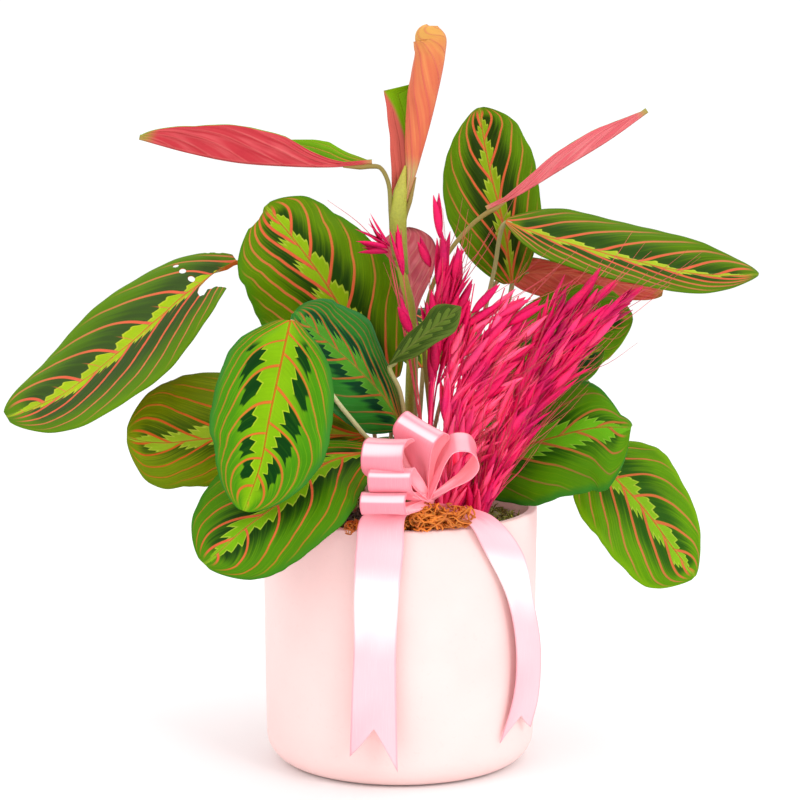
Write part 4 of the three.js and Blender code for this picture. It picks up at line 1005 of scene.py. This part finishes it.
class Blade:
    """A leaf's blade as a surface: u runs from base to tip and t from -1 to 1 across."""

    def __init__(self, leaf):
        self.leaf = leaf
        self.curve = Curve(leaf.rib)
        self.length = self.curve.length()

    def half_width(self, u, half):
        leaf = self.leaf
        inside = np.clip(u, 0, 1)
        power = math.log(0.5) / math.log(leaf.widest)
        place = (BLADE_START + (BLADE_END - BLADE_START) * inside) ** power
        margins = along(leaf.margins[half], (inside - 0.1) / 0.8)
        phase = leaf.look["seed"] * 1.7 + 2 * half
        ripple = 1 + 0.01 * np.sin(23 * u + phase) + 0.005 * np.sin(61 * u + 2 * phase)
        fullness = np.where(inside > 0.6, leaf.tip_fullness, OUTLINE_FULLNESS)
        width = leaf.half_width * np.sin(math.pi * place) ** fullness * margins * ripple
        return np.maximum(width, leaf.least_width)

    def width(self, u, t):
        """The half width at u on the side of the midrib that t is on."""
        return np.where(t < 0, self.half_width(u, 0), self.half_width(u, 1))

    def rib_frame(self, u):
        """Point, tangent, face and side of the midrib; a u outside 0..1 runs straight on from the end."""
        inside = np.clip(u, 0, 1)
        tangent = self.curve.tangent(inside)
        point = self.curve.at(inside) + tangent * ((u - inside) * self.length)[..., None]
        face = square_to(along(self.leaf.face, inside), tangent)
        return point, tangent, face, np.cross(tangent, face)

    def at(self, u, t):
        """Points and upper normals for arrays u and t of one shape."""
        leaf = self.leaf
        point, tangent, face, side = self.rib_frame(u)
        half = (t >= 0).astype(int)
        sign = np.where(t < 0, -1.0, 1.0)
        share = np.abs(t)
        fold = np.radians(np.array(leaf.fold, float)[half])
        curl = np.radians(np.array(leaf.curl, float)[half])
        angle = fold + curl * share
        width = self.width(u, t)
        outward = sign * width * (np.sin(angle) - np.sin(fold)) / curl
        upward = width * (np.cos(fold) - np.cos(angle)) / curl
        wave = leaf.wave * share ** 2 * np.sin(2 * math.pi * MARGIN_WAVES * u + sign * 1.3)
        normal = face * np.cos(angle)[..., None] - side * (sign * np.sin(angle))[..., None]
        on_rib = (share < 1e-6)[..., None]
        normal = np.where(on_rib, face / math.cos(math.radians(np.mean(leaf.fold))), normal)
        point = point + side * outward[..., None] + face * upward[..., None] + normal * wave[..., None]
        lift = leaf.tip_lift * upward * np.clip((u - LIFT_FROM) / (1 - LIFT_FROM), 0, 1)
        return point + tangent * lift[..., None], normal

    def maps(self, u, t):
        """The maps that the leaf pattern reads. The pattern's midrib may lie beside the crease."""
        shift = self.leaf.midrib_shift
        t = np.where(t < shift, (t - shift) / (1 + shift), (t - shift) / (1 - shift))
        share = np.abs(t)
        sweeps = np.array(self.leaf.vein_sweep, float)
        sweep, bend, power = np.moveaxis(sweeps[(t >= 0).astype(int)], -1, 0)
        begin = u - sweep * share - bend * share ** power
        width = np.maximum(self.width(u, t), 2)
        slope = (sweep + bend * power * share ** (power - 1)) / width
        pitch = 1 / np.hypot(1 / self.length, slope)
        return {
            "blade": np.stack([u, (t + 1) / 2], -1),
            "veins": np.stack([begin, pitch / 100], -1),
            "size": np.stack([u * self.length / 100, t * width / 100], -1),
        }

    def pleats(self, u, t):
        """Height of the low pleats between side veins and of the sunken midrib."""
        veins = {**PATTERN, **self.leaf.look}["veins"]
        cells = self.maps(u, t)["veins"][..., 0] * veins + VEIN_STAGGER * (t < 0)
        swell = 0.5 - 0.5 * np.cos(2 * math.pi * cells)
        share = np.abs(t)
        room = np.clip(share / 0.25, 0, 1) * np.clip((1 - share) / 0.3, 0, 1)
        ends = np.clip(u / 0.12, 0, 1) * np.clip((1 - u) / 0.15, 0, 1)
        return self.leaf.pleat * swell * room * ends


def row_places():
    """Places along a blade, closer together at its ends."""
    share = np.linspace(0, 1, BLADE_ROWS)
    return 0.4 * share + 0.6 * (0.5 - 0.5 * np.cos(math.pi * share))


def rooted(root):
    """The two points where a stalk comes straight up out of the soil."""
    return [(*root, SOIL_TOP - STALK_DEPTH), (*root, SOIL_TOP + STALK_RISE)]


def add_leaf(shape, leaf, finishes):
    """Adds a blade and its stalk. finishes are the places of the upper, lower and stalk materials."""
    blade = Blade(leaf)
    u, t = np.meshgrid(row_places(), np.linspace(-1, 1, BLADE_COLUMNS + 1), indexing="ij")
    points, normals = blade.at(u, t)
    raised = points + unit(normals) * blade.pleats(u, t)[..., None]
    closed_sheet(shape, raised, normals, BLADE_THICKNESS, finishes[:2], blade.maps(u, t))
    foot = leaf.stalk[0]
    start = leaf.stalk if len(foot) == 3 else rooted(foot) + leaf.stalk[1:]
    under_blade = np.array([0, 0.06, 0.14])
    point, _, face, _ = blade.rib_frame(under_blade)
    sunk = point - face * np.array([[1.2], [1.15], [0.5]]) * STALK_RADIUS
    path = [*start, *sunk]
    radii = [STALK_RADIUS * 1.25] + [STALK_RADIUS] * (len(path) - 4)
    radii += [STALK_RADIUS * 1.12, STALK_RADIUS * 1.1, 0.35]
    tube(shape, path, radii, steps=8, finish=finishes[2])


def leaf_materials(leaf):
    return [leaf_upper(leaf), UNDERSIDES[leaf.under], STALKS[leaf.stalk_colour]]


def cut_leaf(piece, leaf):
    """Cuts the torn place and the holes out of a finished blade."""
    turns = full_turn(12)
    outlines = [np.array(leaf.torn)] if leaf.torn else []
    for u, t, long, wide in leaf.holes:
        outlines.append(np.stack([u + long * np.cos(turns), t + wide * np.sin(turns)], -1))
    cutters = Shape()
    for outline in outlines:
        points, normals = Blade(leaf).at(outline[:, 0], outline[:, 1])
        cutters.add(np.vstack([points - normals * 9, points + normals * 9]), tube_faces(2, len(points)))
    cutter_mesh = cutters.mesh("leaf_cutter")
    work = bmesh.new()
    work.from_mesh(cutter_mesh)
    bmesh.ops.recalc_face_normals(work, faces=work.faces)
    work.to_mesh(cutter_mesh)
    work.free()
    cutter = placed("leaf_cutter", cutter_mesh)
    bite = piece.modifiers.new("bite", "BOOLEAN")
    bite.operation = "DIFFERENCE"
    bite.object = cutter
    bite.solver = "EXACT"
    bite.use_self = True
    bpy.context.view_layer.update()
    bitten = bpy.data.meshes.new_from_object(piece.evaluated_get(bpy.context.evaluated_depsgraph_get()))
    piece.modifiers.clear()
    piece.data = bitten
    bpy.data.objects.remove(cutter)


def build_leaves():
    for leaf in LEAVES:
        shape = Shape()
        add_leaf(shape, leaf, (0, 1, 2))
        piece = shape.piece(leaf.name + "_blade", leaf_materials(leaf), "leaf", [leaf.name])
        if leaf.holes:
            cut_leaf(piece, leaf)


def build_stem():
    """The tall stem, the sheath round its top, and the two young leaves."""
    shape = Shape()
    materials = [STEM_SKIN]
    tube(shape, rooted(STEM_ROOT) + STEM_PATH, [STEM_RADIUS, STEM_RADIUS, STEM_RADIUS, 2.2], sides=14)
    tube(shape, SHEATH_PATH, SHEATH_RADII, sides=20, steps=8, flat=0.9)
    for leaf in STEM_LEAVES:
        first = len(materials)
        materials += leaf_materials(leaf)
        add_leaf(shape, leaf, (first, first + 1, first + 2))
    shape.piece("leafy_stem_shoot", materials, "young_leaf", ["leafy_stem"])


# ------------------------------------------------------------------------------------------------------
# Pot, soil, moss and coir

def outer_radius(z):
    return FOOT_RADIUS + (RIM_RADIUS - FOOT_RADIUS) * z / POT_HEIGHT


def inner_radius(z):
    return outer_radius(z) - POT_WALL


def soil_height(radius):
    return SOIL_TOP + SOIL_MOUND * (1 - (radius / inner_radius(SOIL_TOP)) ** 2)


def on_soil(turn, radius, above):
    return np.array([radius * math.cos(turn), radius * math.sin(turn), soil_height(radius) + above])


def build_pot():
    inner_rounding = FOOT_ROUNDING - POT_WALL
    rim = POT_HEIGHT - RIM_ROUNDING
    foot = FOOT_RADIUS - FOOT_ROUNDING
    profile = [(0, 0), (foot - 12, 0)]
    profile += arc(foot, FOOT_ROUNDING, FOOT_ROUNDING, -90, 0, 18)
    profile += [(outer_radius(z), z) for z in np.linspace(26, 124, 12)]
    profile += arc(outer_radius(rim) - RIM_ROUNDING, rim, RIM_ROUNDING, 0, 90, 6)
    profile += arc(inner_radius(rim) + RIM_ROUNDING, rim, RIM_ROUNDING, 90, 180, 6)
    profile += arc(inner_radius(POT_FLOOR) - inner_rounding, POT_FLOOR + inner_rounding, inner_rounding,
                   0, -90, 8)
    profile += [(0, POT_FLOOR)]
    shape = Shape()
    shape.add(*spun(profile, POT_SIDES))
    shape.piece("ceramic_pot", [ceramic()], "pot", ["pot"])


def build_soil():
    """Crumbly soil: a lumpy surface with loose crumbs, closed below at the pot's floor."""
    generator = np.random.default_rng(4)
    rings, sides = 40, 140
    edge = inner_radius(SOIL_TOP) - 0.5
    radii = np.linspace(edge, 0, rings + 1)[:-1]
    lumps = generator.normal(0, 1, (rings, sides))
    lumps = (lumps + np.roll(lumps, 1, 1) + np.roll(lumps, 1, 0)) / 3
    profile = [(0, POT_FLOOR + 0.5), (edge - 12, POT_FLOOR + 0.5), (edge, POT_FLOOR + 14)]
    profile += [(r, soil_height(r)) for r in radii] + [(0, soil_height(0))]
    vertices, faces = spun(profile, sides)
    vertices = np.array(vertices)
    top = vertices[2 * sides:(2 + rings) * sides].reshape(rings, sides, 3)
    top[..., 2] += SOIL_LUMPS * lumps * (radii < edge - 1)[:, None]
    shape = Shape()
    shape.add(vertices, faces)
    for _ in range(SOIL_CRUMBS):
        turn = generator.uniform(0, 2 * math.pi)
        radius = edge * 0.96 * math.sqrt(generator.uniform(0, 1))
        size = generator.uniform(0.7, 2.2)
        add_crumb(shape, on_soil(turn, radius, 0.3 * size), size, generator)
    shape.piece("potting_soil", [soil_crumb()], "soil", ["soil"])


def add_crumb(shape, centre, size, generator):
    """One lumpy crumb with ten corners on two rings, and two poles."""
    turns = full_turn(5)
    rings = []
    for height, radius in ((-0.45, 0.8), (0.35, 0.75)):
        ring = np.stack([radius * np.cos(turns), radius * np.sin(turns), np.full(5, height)], -1)
        rings.append(ring * generator.uniform(0.7, 1.2, (5, 1)))
    points = np.vstack([*rings, (0, 0, -0.9), (0, 0, 0.85)]) * size
    faces = grid_faces(2, 5, closed=True)
    faces += [(10, (j + 1) % 5, j) for j in range(5)]
    faces += [(11, 5 + j, 5 + (j + 1) % 5) for j in range(5)]
    shape.add(points + centre, faces)


def build_moss():
    """A loose ring of moss: a lumpy mat with short curved sprigs standing out of it."""
    generator = np.random.default_rng(11)
    outer = inner_radius(SOIL_TOP) - 0.8
    sides, rings = 120, 10
    turns = full_turn(sides)
    lumps = np.array([[0.5 + 0.5 * math.sin(5 * a + 1.7 * k) * math.sin(11 * a - k) for k in range(rings)]
                      for a in turns])
    lumps += generator.uniform(-0.25, 0.25, lumps.shape)
    edge = np.clip(np.minimum(np.arange(rings), rings - 1 - np.arange(rings)) / 1.5, 0.15, 1)
    angles, distances = np.meshgrid(turns, np.linspace(MOSS_INNER, outer, rings), indexing="ij")
    floor = soil_height(distances) + 0.4
    top = floor + MOSS_THICKNESS * edge * (0.45 + 0.4 * lumps)
    x, y = distances * np.cos(angles), distances * np.sin(angles)
    upper, lower = np.stack([x, y, top], -1), np.stack([x, y, floor], -1)
    shape = Shape()
    shape.add(np.concatenate([upper, lower[:, ::-1]], 1), grid_faces(sides, 2 * rings, True, ring=True), 0,
              {"strand": np.full((sides * 2 * rings, 2), (0.25, 0.4))})
    for _ in range(MOSS_SPRIGS):
        turn = generator.uniform(0, 2 * math.pi)
        root = on_soil(turn, generator.uniform(MOSS_INNER, outer - 1), 1.5)
        lean = generator.uniform(-1, 1, 2)
        length = generator.uniform(2.5, 5.5)
        tip = root + np.array([*lean, generator.uniform(0.3, 0.9)]) * length
        tip = within_pot(tip[None], outer)[0]
        middle = (root + tip) / 2 + (0, 0, length * 0.25)
        tube(shape, [root, middle, tip], [0.5, 0.42, 0.12], 4, 2, tone=generator.uniform(0, 1))
    for centre, size, count in MOSS_HEAPS:
        for _ in range(count):
            root = np.array(centre) + generator.uniform(-1, 1, 3) * size * 0.75
            bend = root + generator.normal(0, 1.6, 3)
            tip = bend + generator.normal(0, 1.8, 3)
            sprig = within_pot(np.stack([root, bend, tip]), outer)
            tube(shape, sprig, [0.55, 0.45, 0.14], 4, 3, tone=generator.uniform(0.2, 1))
    shape.piece("moss_ring", [MOSS_GREEN], "moss", ["moss"])


def within_pot(points, radius):
    """Points pulled in to a radius about the pot's axis where they lie outside it."""
    reach = np.hypot(points[:, 0], points[:, 1])
    return points * np.stack([np.minimum(1, radius / reach)] * 2 + [np.ones(len(points))], -1)


def tangled_fibre(generator, start, heading, turning, stride, centre, size):
    """Points of a fibre that wanders from start and stays inside an ellipsoid. stride gives each step's
    length."""
    points = [start]
    for _ in range(4):
        heading = unit(heading + generator.normal(0, turning, 3))
        away = (points[-1] + heading * stride() - centre) / size
        step = centre + away / max(1, np.linalg.norm(away)) * size
        step[2] = max(step[2], SOIL_TOP + 3)
        points.append(step)
    return points


def build_coir():
    """A tuft of coir: long thin fibres, tangled round the bow's foot, some of them hanging over the rim."""
    generator = np.random.default_rng(23)
    centre, size = np.array(COIR_CENTRE), np.array(COIR_SIZE)
    shape = Shape()
    for _ in range(COIR_FIBRES):
        side = generator.uniform(-1, 1)
        around = generator.uniform(0, math.pi)
        hump = math.sqrt(max(0.0, 1 - side * side))
        place = (0.95 * side, hump * math.cos(around), hump * math.sin(around))
        start = centre + (size - (0, 0, 1)) * place
        heading = generator.normal(0, 1, 3)
        length = generator.uniform(3.5, 7.5)
        points = tangled_fibre(generator, start, heading, 0.8, lambda: length, centre, size * (1.1, 1.5, 1.2))
        tube(shape, points, [0.46, 0.42, 0.36, 0.16], 5, 3, tone=generator.uniform(0, 1))
    for place, reach, count in COIR_TUFTS:
        for _ in range(count):
            start = np.array(place) + generator.uniform(-1, 1, 3) * reach * 0.8
            heading = unit(generator.normal(0, 1, 3) * (1, 0.6, 0.8))
            points = tangled_fibre(generator, start, heading, 0.7, lambda: generator.uniform(2.5, 5),
                                   np.array(place), np.array(reach))
            tube(shape, points, [0.55, 0.5, 0.4, 0.18], 5, 3, tone=generator.uniform(0.3, 1))
    for _ in range(COIR_STRAYS):
        side = generator.uniform(-1, 0.35)
        start = centre + (22 * side, -4, 3 + generator.uniform(-1, 2))
        over = start + (8 * generator.uniform(-0.5, 0.5), -8 - 3 * generator.uniform(0, 1),
                        3 + 6 * generator.uniform(0, 1))
        over[2] = max(over[2], POT_HEIGHT + 1.2)
        tip = np.array([over[0] + 18 * generator.uniform(-0.5, 0.5), COIR_FRONT + generator.uniform(0, 6),
                        max(centre[2] + generator.uniform(0, 7), POT_HEIGHT + 0.8)])
        tube(shape, [start, over, tip], [0.42, 0.36, 0.15], 5, 5, tone=generator.uniform(0, 1))
    shape.piece("coir_tuft", [COIR_BROWN], "coir", ["coir_fibres"])


# ------------------------------------------------------------------------------------------------------
# Ribbon. A strip runs between two edges, each a curve through chosen points. A loop's two centres are the
# middles of its round front, at its left and right edge.

KNOT = (13.5, -66, 147)
KNOT_GAP = 0.6
BOW_LOOPS = [
    {"centres": [(1, -62, 184), (19.5, -74, 175)], "radius": 7},
    {"centres": [(-15, -70, 169), (5, -79, 170)], "radius": 9.6},
    {"centres": [(-14, -77, 159), (7, -83.5, 160)], "radius": 6},
    {"centres": [(-18, -77, 147.5), (4, -83, 148.5)], "radius": 5.6},
    {"centres": [(30, -84, 167), (29, -63.5, 172.5)], "radius": 8.2},
]
TAILS = [
    {
        "name": "ribbon_tail_left",
        "left": [(9, -67, 142), (-6, -69, 143), (-18.5, -72, 140), (-21.5, -74, 124), (-22.6, -74, 100),
                 (-22.6, -75, 75), (-23.6, -76, 52), (-24.7, -78, 21)],
        "right": [(11, -68, 141), (7, -71, 142), (2.8, -74, 140), (1.8, -74.5, 124), (-0.6, -74.5, 100),
                  (-1.8, -75, 75), (-1.8, -76, 52), (-1.1, -78, 13)],
    },
    {
        "name": "ribbon_tail_right",
        "left": [(18, -66, 143), (25, -66, 140), (33, -66, 136), (41, -60, 121), (53, -51, 95),
                 (58, -46, 68), (57, -46, 44), (50, -50, 20)],
        "right": [(18.5, -64, 144), (33, -61, 141.5), (46.5, -57, 136), (61, -44, 116), (66.6, -34, 91),
                  (71, -28, 64), (70, -29, 39), (66, -34, 24)],
    },
]


def loop_edge(loop, end):
    """A loop's edge, from the knot round its front and back. end is 0 for the left and 1 for the right."""
    left, right = (Vector(centre) for centre in loop["centres"])
    knot = Vector(KNOT)
    axis = (right - left).normalized()
    outward = (left + right) / 2 - knot
    outward = (outward - axis * outward.dot(axis)).normalized()
    sideways = axis.cross(outward)
    gathered = knot + axis * (RIBBON_GATHER if end else -RIBBON_GATHER)
    points = [gathered - sideways * KNOT_GAP]
    for degrees in (-110, -60, 0, 60, 110):
        turn = math.radians(degrees)
        points.append((left, right)[end] + outward * loop["radius"] * math.cos(turn)
                      + sideways * loop["radius"] * math.sin(turn))
    points.append(gathered + sideways * KNOT_GAP)
    return [tuple(point) for point in points]


def strip(shape, left_points, right_points, rows, columns, cup=0.0, notch=0.0):
    """A ribbon between two edges, pleated where they come close together. cup is how far its middle stands
    out, and notch how deep its end is cut. Gives back its length in millimetres."""
    left, right = Curve(left_points), Curve(right_points)
    s, t = np.meshgrid(np.linspace(0, 1, rows), np.linspace(-1, 1, columns), indexing="ij")
    end = np.clip((s - NOTCH_FROM) / (1 - NOTCH_FROM), 0, 1)
    place = s - notch * (1 - np.abs(t)) * end
    share = ((t + 1) / 2)[..., None]
    points = left.at(place) * (1 - share) + right.at(place) * share
    normals = sheet_normals(points)
    points = points + normals * (cup * (1 - t ** 2) * np.sin(math.pi * s) ** 0.5)[..., None]
    wide = np.linalg.norm(points[:, -1:] - points[:, :1], axis=-1)
    spare = np.sqrt(2 * np.maximum((RIBBON_WIDTH / wide) ** 2 - 1, 0)) * wide / (2 * math.pi * PLEATS)
    depth = np.minimum(spare, PLEAT_DEPTH) * np.clip((RIBBON_WIDTH - wide) / FULLY_PLEATED, 0, 1)
    points = points + normals * (depth * np.cos(math.pi * PLEATS * (t + 1)))[..., None]
    steps = np.linalg.norm(np.diff(points[:, columns // 2], axis=0), axis=-1)
    length = np.concatenate([[0], np.cumsum(steps)])
    cloth = np.stack([np.repeat(length[:, None], columns, 1), t * RIBBON_WIDTH / 2], -1) * MM
    closed_sheet(shape, points, normals, RIBBON_THICKNESS, (0, 1), {"cloth": cloth})
    return float(length[-1])


def build_bow():
    nodes = ["ribbon_bow"]
    for number, loop in enumerate(BOW_LOOPS, 1):
        shape = Shape()
        length = strip(shape, loop_edge(loop, 0), loop_edge(loop, 1), 96, 31, cup=0.5)
        piece = shape.piece(f"bow_loop_{number}", [INNER_SATIN, LOOP_SATIN], "ribbon", nodes)
        nodes = []


def build_knot():
    """The ribbon wrapped tightly round the bow's middle, with its folds gathered."""
    turn, t = np.meshgrid(np.linspace(-0.1, 2 * math.pi, 40), np.linspace(-1, 1, 15), indexing="ij")
    pinch = 0.35 * np.cos(t * math.pi * 3) + 0.25 * np.sin(turn * 2 + t * 5)
    radius = 3.0 + pinch * 0.5 - 0.9 * t ** 2 + turn * 0.05
    points = KNOT + np.stack([radius * np.sin(turn), radius * np.cos(turn) * 0.9, 4.0 * t], -1)
    cloth = np.stack([turn * 3.2, t * RIBBON_WIDTH / 2], -1) * MM
    shape = Shape()
    closed_sheet(shape, points, sheet_normals(points), RIBBON_THICKNESS, (0, 0), {"cloth": cloth})
    piece = shape.piece("bow_knot", [LOOP_SATIN], "ribbon")


def build_tails():
    for tail in TAILS:
        shape = Shape()
        length = strip(shape, tail["left"], tail["right"], 120, 31, notch=TAIL_NOTCH)
        piece = shape.piece(tail["name"] + "_satin", [TAIL_SATIN, TAIL_SATIN], "ribbon", [tail["name"]])


# ------------------------------------------------------------------------------------------------------
# Oats: each head is a few stalks from one root, with long pointed spikelets along their upper part. Single
# spikelets hang on long thin stalks of their own: their foot, their point, and how far they open.

OAT_HEADS = [
    SimpleNamespace(
        name="oats_right", root=(38, -44), lean=0.42,
        tips=[(113, -20, 243), (106, -22, 240), (98, -18, 244), (101, -26, 236), (90, -20, 241),
              (88, -28, 229), (82, -22, 239), (83, -28, 224), (77, -20, 243), (74, -26, 230), (69, -30, 217),
              (76, -30, 214), (61, -34, 203), (52, -36, 196), (56, -36, 186)],
        spikelets=13, first=0.2, last=0.96, droop=(0.25, 0, -0.12), spread=(0.12, 0.34), tones=(0.0, 0.7),
        awns=0.8, seed=5, single=[]),
    SimpleNamespace(
        name="oats_middle", root=(22, -42), lean=0.36,
        tips=[(59, -24, 242), (52, -24, 246), (63, -26, 231), (44, -22, 245), (37, -22, 248),
              (55, -28, 224), (48, -30, 217), (31, -24, 240), (25, -28, 225), (22, -28, 212),
              (34, -30, 228), (41, -34, 206), (34, -34, 196), (46, -34, 192), (47, -26, 236),
              (42, -30, 226), (26, -34, 198)],
        spikelets=12, first=0.22, last=0.92, droop=(0.75, 0, -0.3), spread=(0.25, 0.6), tones=(0.35, 1.0),
        awns=0.6, seed=8, single=[]),
    SimpleNamespace(
        name="oats_left", root=(14, -34), lean=0.2,
        tips=[(19, -22, 258), (23, -22, 264), (28, -22, 260), (31, -22, 252), (24, -24, 250)],
        spikelets=7, first=0.66, last=0.94, droop=(0.1, 0, 0), spread=(0.15, 0.5), tones=(0.0, 0.35),
        awns=0.6, seed=3,
        single=[((-6, -16, 265), (-21, -16, 275), 0.5), ((1.4, -20, 253), (-3, -20, 278), 0.12),
                ((20, -14, 270), (18, -14, 293), 0.1), ((15, -18, 256), (9, -18, 271), 0.16),
                ((5.5, -30, 224), (-1, -30, 241), 0.45), ((-6, -16, 263), (-22, -18, 266), 0.3),
                ((-5, -16, 266), (-19, -16, 280), 0.3), ((1.6, -20, 252), (-2, -21, 277), 0.05)]),
]


def add_husk(shape, base, direction, outward, length, width, opening, tone):
    """One long pointed husk that opens away from its spikelet, hollow on its inner side."""
    direction = unit(direction)
    outward = square_to(outward, direction)
    side = np.cross(direction, outward)
    s = np.linspace(0, 1, HUSK_STEPS)
    half = width / 2 * np.sin(math.pi * np.clip(s, 0.02, 0.985) ** 0.75) ** 0.8
    centre = base + np.outer(s * length, direction) + np.outer(opening * s ** 1.6 * length, outward)
    section = np.array([a * side + b * outward for a, b in HUSK_SECTION])
    points = centre[:, None] + half[:, None, None] * section
    corners = len(HUSK_SECTION)
    strand_map = np.stack([np.repeat(s, corners), np.full(HUSK_STEPS * corners, tone)], -1)
    shape.add(points, tube_faces(HUSK_STEPS, corners), 0, {"strand": strand_map})


def add_spikelet(shape, base, direction, generator, length, awns, tones, opening=(0.08, 0.24)):
    """Two husks that open in a V, with a pointed floret and often an awn between them."""
    turn = generator.uniform(0, 2 * math.pi)
    outward = square_to(np.array([math.cos(turn), math.sin(turn), 0.3]), direction)
    tone = generator.uniform(*tones)
    for sign in (1, -1):
        add_husk(shape, base, direction, sign * outward, length * generator.uniform(0.85, 1.05),
                 generator.uniform(3.8, 5.4), generator.uniform(*opening), tone)
    add_husk(shape, base, direction, outward, length * 0.8, 2.6, 0.02, min(1, tone + 0.2))
    if generator.uniform() < awns:
        start = base + direction * length * 0.4
        sway = np.array([generator.normal(4, 3), generator.normal(0, 2), generator.normal(-2, 2)])
        end = start + direction * length * generator.uniform(1.0, 2.3) + sway
        middle = (start + end) / 2 + sway * 0.3
        tube(shape, [start, middle, end], [0.2, 0.16, 0.08], 4, 4, finish=1, tone=generator.uniform(0, 1))


def add_oat_stalk(shape, head, root, tip, generator):
    """One stalk of a head with the spikelets along it."""
    middle = root + (tip - root) * (head.lean, 0.35, 0.55)
    path = [root - (0, 0, STALK_DEPTH / 2), root + (0, 0, OAT_RISE), middle, tip]
    tube(shape, path, [OAT_STALK_RADIUS * 1.3, OAT_STALK_RADIUS, 0.3], 6, 8, tone=generator.uniform(0, 1))
    curve = Curve(path)
    for i in range(head.spikelets):
        share = np.array([head.first + (head.last - head.first) * (i + 0.8) / head.spikelets])
        start, tangent = curve.at(share)[0], curve.tangent(share)[0]
        turn = generator.uniform(0, 2 * math.pi)
        outward = np.array([math.cos(turn), 0.6 * math.sin(turn), 0.3])
        droop = np.array(head.droop) * share
        direction = unit(tangent + droop + generator.uniform(*head.spread) * outward)
        foot = start + direction * SPIKELET_STEM
        tube(shape, [start, foot], [0.3, 0.25], 4, 1)
        length = SPIKELET_LENGTH * generator.uniform(0.8, 1.2)
        add_spikelet(shape, foot, direction, generator, length, head.awns, head.tones)


def add_single_spikelet(shape, root, base, tip, opening, generator):
    """A spikelet on a long thin stalk of its own."""
    way = base - root
    path = [root - (0, 0, STALK_DEPTH / 2), root + way * (0.1, 0.2, 0.3), root + way * (0.6, 0.7, 0.72), base]
    tube(shape, path, [0.5, 0.4, 0.3, 0.25], 5, finish=1, tone=0.6)
    add_spikelet(shape, base, unit(tip - base), generator, float(np.linalg.norm(tip - base)), 0.3,
                 (0.0, 0.5), (opening * 0.8, opening * 1.2))


def build_oats():
    for head in OAT_HEADS:
        generator = np.random.default_rng(head.seed)
        shape = Shape()
        root = np.array([*head.root, SOIL_TOP], float)
        for tip in np.array(head.tips, float):
            add_oat_stalk(shape, head, root, tip, generator)
        for base, tip, opening in head.single:
            add_single_spikelet(shape, root, np.array(base, float), np.array(tip, float), opening, generator)
        shape.piece(head.name + "_head", [OAT_PINK, AWN_RED], "oats", [head.name])


# ------------------------------------------------------------------------------------------------------
# Floor, light and camera, in metres. Each lamp is a square soft box: its place, size and power.

FLOOR_REACH = 4
WORLD_BRIGHTNESS = 1.08
LAMPS = {"key": ((1.1, -1.3, 1.2), 0.6, 10), "fill": ((-1.1, -1.0, 0.9), 0.9, 3),
         "top": ((0.1, 0.4, 1.6), 1.0, 4)}
PLANT_MIDDLE = (0, 0, 0.17)
CAMERA_PLACE = (0, -1.5, 0.424)
CAMERA_PITCH = 9.02
LENS = 134.55
SENSOR = 36


def build_floor():
    mesh = bpy.data.meshes.new("studio_floor")
    corners = [(x * FLOOR_REACH, y * FLOOR_REACH, 0) for x, y in ((-1, -1), (1, -1), (1, 1), (-1, 1))]
    mesh.from_pydata(corners, [], [(0, 1, 2, 3)])
    mesh.materials.append(pale_floor())
    floor = placed("studio_floor", mesh)


def build_light():
    world = bpy.data.worlds.new("studio")
    world.use_nodes = True
    world.node_tree.nodes["Background"].inputs["Color"].default_value = (1, 1, 1, 1)
    world.node_tree.nodes["Background"].inputs["Strength"].default_value = WORLD_BRIGHTNESS
    bpy.context.scene.world = world
    for name, (place, size, power) in LAMPS.items():
        lamp = bpy.data.lights.new(name, "AREA")
        lamp.size = size
        lamp.energy = power
        holder = placed(name, lamp)
        holder.location = place
        aim = Vector(PLANT_MIDDLE) - Vector(place)
        holder.rotation_euler = aim.to_track_quat("-Z", "Y").to_euler()


def build_camera():
    camera = bpy.data.cameras.new("camera")
    camera.lens = LENS
    camera.sensor_width = SENSOR
    camera.clip_end = 50
    holder = placed("camera", camera)
    holder.location = CAMERA_PLACE
    holder.rotation_euler = (math.radians(90 - CAMERA_PITCH), 0, 0)
    bpy.context.scene.camera = holder
    bpy.context.scene.view_settings.view_transform = "Standard"


build_pot()
build_soil()
build_moss()
build_coir()
build_leaves()
build_stem()
build_bow()
build_knot()
build_tails()
build_oats()
build_floor()
build_light()
build_camera()
